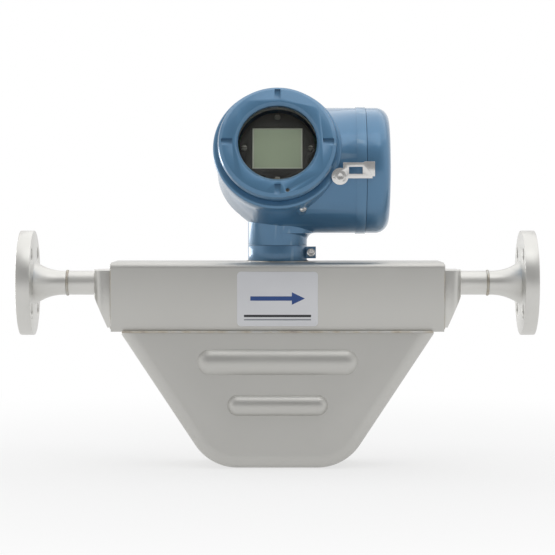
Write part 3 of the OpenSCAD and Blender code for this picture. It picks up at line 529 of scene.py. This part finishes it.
# %% Welds, ink and bare aluminium
weld_steel = Finish("weld_steel", Metallic=0.85)
heat = weld_steel.noise(16 * MM, detail=3)
spatter = weld_steel.noise(1.1 * MM, detail=3)
tint = weld_steel.node("ValToRGB", {"stops": [
    (0.4, colour(190, 189, 185)), (0.55, colour(184, 176, 160)), (0.66, colour(160, 150, 140)),
    (0.76, colour(152, 154, 162))]}, {"Fac": heat}, output="Color")
weld_steel.drive(
    Base_Color=weld_steel.blend(spatter * 0.3, tint, colour(196, 195, 191)),
    Roughness=spatter * 0.2 + 0.24,
    Normal=weld_steel.bump(spatter, 0.05 * MM, 0.6),
)

WORN_LIGHTER = 26
INKS = {"ink_blue": (38, 70, 132), "ink_black": (42, 42, 46), "ink_grey": (128, 132, 138)}
inks = {}
for name, shade in INKS.items():
    ink = Finish(name)
    wear = ink.noise(1.4 * MM, detail=4)
    inks[name] = ink.drive(
        Base_Color=ink.blend(wear * 0.5, colour(*shade), colour(*[part + WORN_LIGHTER for part in shade])),
        Roughness=wear * 0.2 + 0.4,
    )

bare_aluminium = steel("bare_aluminium", colour(206, 208, 211), 0.34, cloud=20 * MM)
print("weld steel,", ", ".join(inks), "and bare aluminium")

# %% [markdown]
# The inner parts show when a cover is off, or when somebody cuts the case open for a picture. So
# they get a pattern too: a brick texture makes the tracks of the boards, a wave texture the wire of
# the coils, and a cloudy noise the plating of the magnets.

# %% Boards, windings and magnets
board_green = Finish("board_green", Coat_Weight=0.3)
tracks = board_green.node("TexBrick", {"offset": 0.4}, {
    "Vector": board_green.place, "Scale": 160.0, "Mortar Size": 0.03,
    "Color1": colour(18, 92, 52), "Color2": colour(22, 104, 58), "Mortar": colour(60, 132, 84)})
board_grain = board_green.noise(1.5 * MM)
board_green.drive(Base_Color=tracks, Roughness=board_grain * 0.15 + 0.35)

copper_wire = Finish("copper_wire", Metallic=0.9)
strands = copper_wire.node("TexWave", {"bands_direction": "Y"}, {
    "Vector": copper_wire.place, "Scale": 1 / (3 * MM), "Distortion": 0.4})
copper_wire.drive(
    Base_Color=copper_wire.blend(strands, colour(120, 62, 28), colour(198, 122, 70)),
    Roughness=strands * 0.15 + 0.25,
    Normal=copper_wire.bump(strands, 0.15 * MM, 0.7),
)

plated_magnet = Finish("plated_magnet", Metallic=1.0)
plating = plated_magnet.noise(2 * MM, detail=3)
plated_magnet.drive(
    Base_Color=plated_magnet.blend(plating, colour(96, 96, 100), colour(126, 126, 130)),
    Roughness=plating * 0.15 + 0.25,
)
print("boards, windings and magnets")

# %% [markdown]
# ## Giving each CAD part its finish
#
# Parts that were worked in the same way share a finish. A part keeps its mesh here, and only the
# material in its slot changes.

# %% Finishes by part
FINISHES = {
    turned_steel: ["inlet_flange", "outlet_flange", "flow_tube_front", "flow_tube_back",
                   "temperature_sensor", "feedthrough"],
    cast_steel: ["inlet_manifold", "outlet_manifold", "window_retainer"]
    + [f"{side}_{part}" for side in ("inlet", "outlet") for part in
       ("inner_brace", "outer_brace", "coil_bracket", "magnet_bracket")]
    + ["drive_coil_bracket", "drive_magnet_bracket"],
    satin_steel: ["housing_box", "inlet_end_plate", "outlet_end_plate",
                  "case_front_shell", "case_back_shell"],
    hardware_steel: ["neck_clamp_screw", "cover_clamp", "cover_clamp_screw", "terminal_screws",
                     "board_posts"],
    black_oxide: ["display_lock_screw", "display_screws"],
    plug_steel: ["conduit_plug"],
    blue_paint: ["neck_collar", "transmitter_housing", "display_cover", "terminal_cover"],
    plate_metal: ["name_plate"],
    rubber: ["neck_seal", "display_cover_seal", "terminal_cover_seal"],
    dark_plastic: ["display_bezel", "terminal_block"],
    panel_glass: ["lcd_panel"],
    window_glass: ["display_window"],
    board_green: ["display_board", "main_board", "power_board"],
    copper_wire: ["drive_coil", "inlet_pickoff_coil", "outlet_pickoff_coil"],
    plated_magnet: ["drive_magnet", "inlet_pickoff_magnet", "outlet_pickoff_magnet"],
}
finish_of = {part: finish for finish, parts in FINISHES.items() for part in parts}
for part, finish in finish_of.items():
    for slot in nodes[part].material_slots:
        slot.material = finish.material
print(len(finish_of), "of", len(nodes), "parts have a finish")

# %% [markdown]
# ## Two helpers for operators
#
# Operators act on whatever is selected, just as the menus do, so every step below first selects the
# one piece that it means. A modifier stays live until it is applied, and the second helper turns a
# piece's modifiers into mesh, in their order.

# %% The selection helpers
def select_only(*objects):
    """Leaves just these objects selected, with the first one active."""
    bpy.ops.object.select_all(action="DESELECT")
    for item in objects:
        item.select_set(True)
    bpy.context.view_layer.objects.active = objects[0]


def apply_modifiers(piece):
    """Turns a piece's modifiers into mesh."""
    select_only(piece)
    for modifier in list(piece.modifiers):
        bpy.ops.object.modifier_apply(modifier=modifier.name)


# %% [markdown]
# ## Rounding the edges of CAD parts
#
# No real edge is perfectly sharp, and the thin highlight along a broken edge is what makes metal
# look real. A CAD export is loose triangles, so its mesh can't be bevelled as it is. We work on a
# copy: merge the doubled corners, dissolve the flat faces' triangles, bevel what is sharper than
# `EDGE_ANGLE` and shade the rest smooth. The copy then stands in for the CAD part.

# %% The edge helper
MERGE_DISTANCE = 0.004 * MM
FLAT_ANGLE = 0.4
EDGE_ANGLE = 35
SMOOTH_ANGLE = 30
bodies = frame["record"]["behaviour"]["bodies"]
body_of = {part: body for body, parts in bodies.items() for part in parts}


def merged_copy(part):
    """A copy of a CAD part with its corners joined and its flat faces whole."""
    piece = bpy.data.objects.new(part + "_finished", nodes[part].data.copy())
    bpy.context.collection.objects.link(piece)
    select_only(piece)
    bpy.ops.object.mode_set(mode="EDIT")
    bpy.ops.mesh.select_all(action="SELECT")
    bpy.ops.mesh.remove_doubles(threshold=MERGE_DISTANCE)
    bpy.ops.mesh.customdata_custom_splitnormals_clear()
    bpy.ops.mesh.dissolve_limited(angle_limit=math.radians(FLAT_ANGLE))
    bpy.ops.object.mode_set(mode="OBJECT")
    return piece


def round_edges(part, width):
    """Breaks a part's sharp edges by width, and lets the new piece stand for it."""
    piece = merged_copy(part)
    if width:
        bevel = piece.modifiers.new("edges", "BEVEL")
        bevel.width = width
        bevel.segments = 2
        bevel.limit_method = "ANGLE"
        bevel.angle_limit = math.radians(EDGE_ANGLE)
        apply_modifiers(piece)
    select_only(piece)
    bpy.ops.object.shade_smooth_by_angle(angle=math.radians(SMOOTH_ANGLE))
    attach(piece, body_of[part])
    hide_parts(part)
    return piece


# %% [markdown]
# How far an edge is broken depends on how the part is made. Castings and turned rims are rounded
# most, sheet and the plug a little, and small parts least. The pressed V case has its radii
# already, so it is only shaded smooth.

# %% Rounded parts
EDGES = {
    0.8 * MM: ["inlet_flange", "outlet_flange", "inlet_manifold", "outlet_manifold"],
    0.7 * MM: ["transmitter_housing", "display_cover", "terminal_cover", "neck_collar"],
    0.35 * MM: ["housing_box", "inlet_end_plate", "outlet_end_plate", "conduit_plug"],
    0.25 * MM: ["name_plate", "cover_clamp", "cover_clamp_screw", "neck_clamp_screw",
                "display_bezel", "display_lock_screw", "display_screws"],
    0: ["case_front_shell", "case_back_shell"],
}
faces = 0
for width, parts in EDGES.items():
    for part in parts:
        piece = round_edges(part, width)
        faces += len(piece.data.polygons)
print(sum(map(len, EDGES.values())), "parts rounded,", faces, "faces")

# %% [markdown]
# ## Welds
#
# The sheet box, the pressed V case, the castings and the pipes are all joined by welds. A weld is
# a row of small overlapping pools that follows a path. So each weld below is given as a path first,
# a list of corners with arcs for its round stretches. `even_points` then spreads points along it,
# so that the ripples have the same size everywhere.

# %% Points along a path
RIPPLE = 1.5 * MM
ARC_STEPS = 48
print("a ripple every", RIPPLE / MM, "mm")


def arc(centre, radius, start, end, plane="yz"):
    """Points on an arc in the YZ, XZ or XY plane, with angles in degrees from the first axis."""
    first, second = ("xyz".index(axis) for axis in plane)
    points = []
    for step in range(ARC_STEPS + 1):
        turn = math.radians(start + (end - start) * step / ARC_STEPS)
        point = list(centre)
        point[first] += radius * math.cos(turn)
        point[second] += radius * math.sin(turn)
        points.append(tuple(point))
    return points


def even_points(corners, closed):
    """Points every half ripple along a path of straight pieces."""
    corners = [Vector(corner) for corner in corners]
    legs = list(zip(corners, corners[1:] + corners[:1])) if closed else list(zip(corners, corners[1:]))
    total = sum((end - start).length for start, end in legs)
    count = max(8, 2 * round(total / RIPPLE))
    points, travelled, leg = [], 0.0, 0
    for number in range(count if closed else count + 1):
        wanted = total * number / count
        while leg < len(legs) - 1 and travelled + (legs[leg][1] - legs[leg][0]).length < wanted:
            travelled += (legs[leg][1] - legs[leg][0]).length
            leg += 1
        start, end = legs[leg]
        points.append(start.lerp(end, min(1.0, (wanted - travelled) / (end - start).length)))
    return points


# %% [markdown]
# A curve is the natural start for a bead: its bevel gives the round section, and every other point
# is a little thinner, which makes the ripples. The curve is turned into a mesh at the end.

# %% A weld along a path
THIN = 0.86
WELD_SMOOTH = 60
WELD_WIDTH = {
    "pipe": 3.4 * MM, "casting": 4 * MM, "plate": 2.2 * MM,
    "case": 2.4 * MM, "box": 2.6 * MM, "collar": 3 * MM,
}
print("beads of", ", ".join(f"{width / MM:.1f}" for width in WELD_WIDTH.values()), "mm")


def weld(name, corners, width, body="sensor", closed=True):
    """Makes a rippled bead of the given width along a path, as a mesh that rides on a body."""
    points = even_points(corners, closed)
    curve = bpy.data.curves.new(name, "CURVE")
    curve.dimensions = "3D"
    curve.bevel_depth = width / 2
    curve.bevel_resolution = 2
    curve.use_fill_caps = not closed
    spline = curve.splines.new("POLY")
    spline.points.add(len(points) - 1)
    spline.use_cyclic_u = closed
    for number, (point, place) in enumerate(zip(spline.points, points)):
        point.co = (*place, 1)
        point.radius = THIN if number % 2 else 1.0
    piece = bpy.data.objects.new(name, curve)
    bpy.context.collection.objects.link(piece)
    select_only(piece)
    bpy.ops.object.convert(target="MESH")
    piece = bpy.context.object
    bpy.ops.object.shade_smooth_by_angle(angle=math.radians(WELD_SMOOTH))
    piece.data.materials.append(weld_steel.material)
    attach(piece, body)


# %% [markdown]
# Each end of the sensor has three welds. One joins the flange to the pipe, one runs round the
# casting where it comes through the end plate, and one holds the plate in the folded box. The first
# path is round, the second square and the third open, so `weld` takes any list of corners.

# %% Welds of the pipe ends and castings
WELD_SINK = 0.5 * MM
PIPE_RADIUS = 12.4 * MM
CASTING_HALF = 36 * MM
CASTING_UP = 13.5 * MM
CASTING_FOOT = -44.5 * MM
SHEET_WALL = 2.5 * MM
SHEET_HALF = 47.5 * MM
SHEET_BEND = 3.5 * MM
CASE_NECK = 3 * MM
NECK_RADIUS = 30.5 * MM

box_low, box_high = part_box("housing_box")
count = 0
for end, flange in ((-1, "inlet_flange"), (1, "outlet_flange")):
    side = "outlet" if end > 0 else "inlet"
    flange_low, flange_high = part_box(flange)
    joint_x = flange_low[0] if end > 0 else flange_high[0]
    weld(f"{side}_pipe_weld", arc((joint_x, 0, 0), PIPE_RADIUS - WELD_SINK, 0, 360)[:-1],
         WELD_WIDTH["pipe"])
    end_x = box_high[0] if end > 0 else box_low[0]
    corners = [(end_x, y, z) for y, z in (
        (-CASTING_HALF, CASTING_FOOT), (CASTING_HALF, CASTING_FOOT),
        (CASTING_HALF, CASTING_UP), (-CASTING_HALF, CASTING_UP))]
    weld(f"{side}_casting_weld", corners, WELD_WIDTH["casting"])
    bend_centre = (end_x, SHEET_HALF - SHEET_BEND, box_high[2] - SHEET_WALL - SHEET_BEND)
    seam = arc(bend_centre, SHEET_BEND, 0, 90)
    corners = [(end_x, SHEET_HALF, box_low[2] + SHEET_WALL)] + seam
    corners += [(x, -y, z) for x, y, z in reversed(corners)]
    weld(f"{side}_plate_weld", corners, WELD_WIDTH["plate"], closed=False)
    count += 3
print(count, "welds round the pipes, castings and end plates")

# %% [markdown]
# The two halves of the V case meet in the middle plane. Their seam runs down each side and round
# the corner. It is ground flush under the bottom, where the meter stands, so the path stops at the
# corners. A pair of straight seams closes the case against the box, and one more bead goes round
# the foot of the neck.

# %% Seams of the V case
CASE_SLANT = 33.5
CASE_CORNER = 52 * MM
SEAM_DEPTH = 0.5 * MM
SEAM_END = -78
SEAM_INSET = 2 * MM
COLLAR_GAP = 0.3 * MM

case_low, case_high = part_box("case_front_shell")
slant = math.radians(CASE_SLANT)
corner_z = case_low[2] + CASE_CORNER
half_top = (case_high[0] - case_low[0]) / 2
case_z = box_low[2] - CASE_NECK
corner_x = half_top - CASE_CORNER / math.cos(slant) + (corner_z - case_z) * math.tan(slant)
for end, side in ((-1, "inlet"), (1, "outlet")):
    bend = arc((corner_x, 0, corner_z), CASE_CORNER - SEAM_DEPTH, -CASE_SLANT, SEAM_END, plane="xz")
    path = [(half_top - SEAM_DEPTH, 0, box_low[2] - MM), (half_top - SEAM_DEPTH, 0, case_z)] + bend
    path = [(middle_x + end * x, y, z) for x, y, z in path]
    weld(f"{side}_case_seam", path, WELD_WIDTH["case"], closed=False)
for face, y in (("front", case_low[1]), ("back", -case_low[1])):
    toe = y + math.copysign(SEAM_DEPTH, -y)
    ends = [
        (middle_x - half_top + SEAM_INSET, toe, box_low[2]),
        (middle_x + half_top - SEAM_INSET, toe, box_low[2])]
    weld(f"{face}_box_seam", ends, WELD_WIDTH["box"], closed=False)
foot = arc((middle_x, 0, box_high[2]), NECK_RADIUS + COLLAR_GAP, 0, 360, plane="xy")[:-1]
weld("collar_weld", foot, WELD_WIDTH["collar"])
print("corner of the seam at", round(corner_x / MM, 1), round(corner_z / MM, 1), "mm")

# %% [markdown]
# ## The name plate
#
# A real plate carries the maker's words and numbers. Ours stays generic: an arrow for the flow
# direction and two plain rules, printed in ink. Each print is a flat shape with a hair's thickness,
# so that it can be a piece of its own. It starts as a plane just under the surface of the plate and
# is extruded until it stands proud.

# %% The print helpers
PRINT_PROUD = 0.08 * MM
PRINT_SINK = 0.3 * MM

plate_low, plate_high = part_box("name_plate")
plate_front = plate_low[1]
plate_x = (plate_low[0] + plate_high[0]) / 2
plate_z = (plate_low[2] + plate_high[2]) / 2
print("plate of", round((plate_high[0] - plate_low[0]) / MM, 1), "mm in length")


def upright_plane(name, x, z, length, height):
    """Plane that faces the viewer just under the plate's surface, left in edit mode."""
    bpy.ops.object.select_all(action="DESELECT")
    bpy.ops.mesh.primitive_plane_add(
        size=1, location=(plate_x + x, plate_front + PRINT_SINK, plate_z + z),
        rotation=(math.pi / 2, 0, 0))
    piece = bpy.context.object
    piece.name = name
    piece.scale = (length, height, 1)
    bpy.ops.object.transform_apply(location=True, rotation=True, scale=True)
    bpy.ops.object.mode_set(mode="EDIT")
    return piece


def pick_vertices(piece, chosen):
    """Selects the vertices for which chosen(place) is true, in edit mode."""
    bpy.ops.mesh.select_all(action="DESELECT")
    bpy.ops.object.mode_set(mode="OBJECT")
    for vertex in piece.data.vertices:
        vertex.select = chosen(vertex.co)
    bpy.ops.object.mode_set(mode="EDIT")


def finish_print(piece, ink_name):
    """Gives a print its thickness and its ink, and lets it ride on the sensor."""
    bpy.ops.mesh.select_all(action="SELECT")
    bpy.ops.mesh.extrude_region_move(TRANSFORM_OT_translate={"value": (0, -PRINT_SINK - PRINT_PROUD, 0)})
    bpy.ops.mesh.select_all(action="SELECT")
    bpy.ops.mesh.normals_make_consistent(inside=False)
    bpy.ops.object.mode_set(mode="OBJECT")
    piece.data.materials.append(inks[ink_name])
    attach(piece, "sensor")


# %% [markdown]
# The rules are planes and need no more. The arrow's plane is its shaft: the right side is extruded
# on the spot and widened, which makes the shoulders, and then extruded again and drawn to a point.

# %% Prints on the plate
ARROW_LENGTH = 42 * MM
SHAFT_WIDTH = 4.4 * MM
HEAD_LENGTH = 13 * MM
HEAD_SPREAD = 2.9
TIP_SPREAD = 0.02
ARROW_RISE = 0.5 * MM
RULE_LENGTH = 68 * MM
RULES = (
    ("plate_rule_upper", -17.2 * MM, 2.4 * MM, "ink_black"),
    ("plate_rule_lower", -21 * MM, 1.2 * MM, "ink_grey"),
)

arrow = upright_plane("flow_arrow", -HEAD_LENGTH / 2, ARROW_RISE, ARROW_LENGTH, SHAFT_WIDTH)
tip_x = plate_x + (ARROW_LENGTH - HEAD_LENGTH) / 2
pick_vertices(arrow, lambda place: place.x > tip_x - MM)
bpy.ops.mesh.extrude_region_move()
arrow_z = plate_z + ARROW_RISE
bpy.ops.transform.resize(value=(1, 1, HEAD_SPREAD), center_override=(tip_x, 0, arrow_z))
bpy.ops.mesh.extrude_region_move(TRANSFORM_OT_translate={"value": (HEAD_LENGTH, 0, 0)})
bpy.ops.transform.resize(
    value=(1, 1, TIP_SPREAD), center_override=(tip_x + HEAD_LENGTH, 0, arrow_z))
finish_print(arrow, "ink_blue")
for name, z, height, ink_name in RULES:
    finish_print(upright_plane(name, 0, z, RULE_LENGTH, height), ink_name)
print("an arrow and two rules on the plate")

# %% [markdown]
# ## Threads
#
# The covers screw into the head, and their threads come into view when they are taken off. A thread
# is one small ridge that climbs as it turns, which is what the Screw modifier makes out of a
# triangle with one corner pointing away from the core. It is built round the Z axis and then laid
# along the axis of the cover or of the bore.

# %% The thread helper
TILT = 20
HEAD_HEIGHT = 116 * MM
RIDGE_SINK = 0.6
RIDGE_SPREAD = 1 + RIDGE_SINK
RIDGE_STEPS = 72
RIDGE_SMOOTH = 40

head_centre = Matrix.Translation((middle_x, 0, HEAD_HEIGHT))
display_axis = head_centre @ Matrix.Rotation(math.radians(90 - TILT), 4, "X")
barrel_axis = head_centre @ Matrix.Rotation(math.radians(90), 4, "Y")
print("display cover tilted up by", TILT, "degrees")


def thread(name, radius, start, turns, pitch, depth, axis, body, outward=True):
    """Helical ridge that stands out of a shaft, or into a bore, round a given axis."""
    bpy.ops.object.select_all(action="DESELECT")
    bpy.ops.mesh.primitive_circle_add(
        vertices=3, radius=depth * RIDGE_SPREAD, fill_type="NGON", rotation=(math.pi / 2, 0, 0))
    piece = bpy.context.object
    piece.name = name
    bpy.ops.object.transform_apply(location=True, rotation=True)
    bpy.ops.object.mode_set(mode="EDIT")
    bpy.ops.mesh.select_all(action="SELECT")
    turn = math.radians(30 if outward else -30)
    bpy.ops.transform.rotate(value=turn, orient_axis="Y", center_override=(0, 0, 0))
    reach = radius - RIDGE_SINK * depth if outward else radius + RIDGE_SINK * depth
    bpy.ops.transform.translate(value=(reach, 0, start))
    bpy.ops.object.mode_set(mode="OBJECT")
    screw = piece.modifiers.new("ridge", "SCREW")
    screw.axis = "Z"
    screw.screw_offset = pitch
    screw.iterations = turns
    screw.steps = screw.render_steps = RIDGE_STEPS
    screw.use_merge_vertices = True
    apply_modifiers(piece)
    bpy.ops.object.mode_set(mode="EDIT")
    bpy.ops.mesh.select_all(action="SELECT")
    bpy.ops.mesh.remove_doubles(threshold=MERGE_DISTANCE / 4)
    bpy.ops.mesh.normals_make_consistent(inside=False)
    bpy.ops.object.mode_set(mode="OBJECT")
    piece.matrix_world = axis
    select_only(piece)
    bpy.ops.object.transform_apply(location=True, rotation=True, scale=True)
    bpy.ops.object.shade_smooth_by_angle(angle=math.radians(RIDGE_SMOOTH))
    piece.data.materials.append(bare_aluminium.material)
    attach(piece, body)
    return piece


# %% [markdown]
# Both covers have the same fine thread, and the last turns of it are enough. The head has two
# entries for cables at the back. One is closed by the plug, and the open one gets a coarser thread,
# whose ridge points inwards.

# %% Threads of the covers and the open conduit entry
COVER_THREAD = {"turns": 4, "pitch": 1.5 * MM, "depth": 0.25 * MM}
CONDUIT_THREAD = {"radius": 10.6 * MM, "start": 57 * MM, "turns": 10, "pitch": 1.8 * MM, "depth": 0.7 * MM}
CONDUIT_GAP = 56 * MM

ridge = thread("display_cover_ridge", radius=52 * MM, start=56.5 * MM, axis=display_axis,
               body="display_cover", **COVER_THREAD)
thread("terminal_cover_ridge", radius=54.5 * MM, start=80.2 * MM, axis=barrel_axis,
       body="terminal_cover", **COVER_THREAD)
conduit_low, conduit_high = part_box("conduit_plug")
conduit_axis = Matrix.Translation((
    (conduit_low[0] + conduit_high[0]) / 2, 0,
    (conduit_low[2] + conduit_high[2]) / 2 + CONDUIT_GAP))
conduit_axis = conduit_axis @ Matrix.Rotation(math.radians(-90), 4, "X")
thread("conduit_ridge", axis=conduit_axis, body="head", outward=False, **CONDUIT_THREAD)
print("a cover thread has", len(ridge.data.polygons), "faces")

# %% [markdown]
# ## Small fittings of the head
#
# Three small things finish the head: a thin light frame round the display, a set screw in the lock
# boss beside the display cover, and a low ring that stiffens the end of the terminal cover. Each is
# built at the origin, where sizes are easy to read, and `settle` then turns it into its place.

# %% The placing helper
def settle(piece, place, finish, body):
    """Puts a piece that was built at the origin in its place, with its finish and its body."""
    if piece.mode == "EDIT":
        bpy.ops.mesh.select_all(action="SELECT")
        bpy.ops.mesh.normals_make_consistent(inside=False)
        bpy.ops.object.mode_set(mode="OBJECT")
    piece.matrix_world = place
    select_only(piece)
    bpy.ops.object.transform_apply(location=True, rotation=True, scale=True)
    bpy.ops.object.shade_smooth_by_angle(angle=math.radians(SMOOTH_ANGLE))
    piece.data.materials.append(finish.material)
    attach(piece, body)


# %% [markdown]
# The frame is a plane at first. Insetting it leaves four narrow faces round a middle one. The middle
# is deleted, the narrow faces are extruded, and the edges are bevelled.

# %% Display frame
FRAME_SIZE = (50.3 * MM, 43.8 * MM)
FRAME_EDGE = 1.3 * MM
FRAME_HEIGHT = 0.7 * MM
FRAME_ROUND = 0.15 * MM
PANEL_TOP = 60.2 * MM

bpy.ops.object.select_all(action="DESELECT")
bpy.ops.mesh.primitive_plane_add(size=1)
display_frame = bpy.context.object
display_frame.name = "display_frame"
display_frame.scale = (*FRAME_SIZE, 1)
bpy.ops.object.transform_apply(scale=True)
bpy.ops.object.mode_set(mode="EDIT")
bpy.ops.mesh.select_all(action="SELECT")
bpy.ops.mesh.inset(thickness=FRAME_EDGE)
bpy.ops.mesh.delete(type="FACE")
bpy.ops.mesh.select_all(action="SELECT")
bpy.ops.mesh.extrude_region_move(TRANSFORM_OT_translate={"value": (0, 0, FRAME_HEIGHT)})
bpy.ops.mesh.select_all(action="SELECT")
bpy.ops.mesh.bevel(offset=FRAME_ROUND, segments=2)
on_panel = display_axis @ Matrix.Translation((0, 0, PANEL_TOP))
settle(display_frame, on_panel, frame_plastic, "head")
print("display frame", [round(size / MM, 1) for size in FRAME_SIZE], "mm")

# %% [markdown]
# The set screw is a short cylinder. Its hexagon socket is cut by a Boolean with a six-sided
# cylinder, which is quicker than insetting and sinking a face by hand and gives a true hexagon.

# %% Set screw of the head
SCREW_RADIUS = 3.4 * MM
SCREW_LENGTH = 6 * MM
SCREW_SINK = 1.5 * MM
SCREW_ROUND = 0.35 * MM
SOCKET_SHARE = 0.55
CUTTER_LENGTH = 5 * MM
CUTTER_RISE = 1 * MM
BOSS_ANGLE = -67
BOSS_REACH = 66 * MM
BOSS_RISE = 51 * MM

bpy.ops.object.select_all(action="DESELECT")
bpy.ops.mesh.primitive_cylinder_add(
    vertices=48, radius=SCREW_RADIUS, depth=SCREW_LENGTH, location=(0, 0, -SCREW_SINK))
set_screw = bpy.context.object
set_screw.name = "boss_set_screw"
bpy.ops.object.transform_apply(location=True)
bpy.ops.mesh.primitive_cylinder_add(
    vertices=6, radius=SOCKET_SHARE * SCREW_RADIUS, depth=CUTTER_LENGTH, location=(0, 0, CUTTER_RISE))
hexagon = bpy.context.object
socket = set_screw.modifiers.new("socket", "BOOLEAN")
socket.object = hexagon
socket.solver = "EXACT"
edges = set_screw.modifiers.new("edges", "BEVEL")
edges.width = SCREW_ROUND
edges.segments = 2
edges.limit_method = "ANGLE"
apply_modifiers(set_screw)
bpy.data.objects.remove(hexagon)
boss = display_axis @ Matrix.Rotation(math.radians(BOSS_ANGLE), 4, "Z")
in_boss = boss @ Matrix.Translation((BOSS_REACH, 0, BOSS_RISE)) @ Matrix.Rotation(math.radians(90), 4, "Y")
settle(set_screw, in_boss, hardware_steel, "head")
print("set screw with", len(set_screw.data.polygons), "faces")

# %% [markdown]
# The ring starts as a circle of edges. Three extrusions make its outer wall, its top and its inner
# wall, and a bridge between the two open loops closes the underside, which sits in the cover.

# %% Ring on the terminal cover
RING_RADIUS = 33 * MM
RING_WIDTH = 3 * MM
RING_HEIGHT = 1.0 * MM
RING_SINK = 0.3 * MM
RING_ROUND = 0.7 * MM

cover_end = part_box("terminal_cover")[1][0]
bpy.ops.object.select_all(action="DESELECT")
bpy.ops.mesh.primitive_circle_add(vertices=128, radius=RING_RADIUS)
cover_ring = bpy.context.object
cover_ring.name = "terminal_cover_ring"
bpy.ops.object.mode_set(mode="EDIT")
bpy.ops.mesh.select_all(action="SELECT")
bpy.ops.mesh.extrude_region_move(TRANSFORM_OT_translate={"value": (0, 0, RING_HEIGHT + RING_SINK)})
bpy.ops.mesh.extrude_region_move()
bpy.ops.transform.resize(value=[1 - RING_WIDTH / RING_RADIUS] * 2 + [1], center_override=(0, 0, 0))
bpy.ops.mesh.extrude_region_move(TRANSFORM_OT_translate={"value": (0, 0, -RING_HEIGHT - RING_SINK)})
bpy.ops.mesh.select_all(action="DESELECT")
bpy.ops.mesh.select_non_manifold()
bpy.ops.mesh.bridge_edge_loops()
bpy.ops.object.mode_set(mode="OBJECT")
edges = cover_ring.modifiers.new("edges", "BEVEL")
edges.width = RING_ROUND
edges.segments = 3
edges.limit_method = "ANGLE"
apply_modifiers(cover_ring)
end_face = Matrix.Translation((cover_end - RING_SINK, 0, HEAD_HEIGHT))
end_face = end_face @ Matrix.Rotation(math.radians(90), 4, "Y")
settle(cover_ring, end_face, blue_paint, "terminal_cover")
print("ring with", len(cover_ring.data.polygons), "faces")
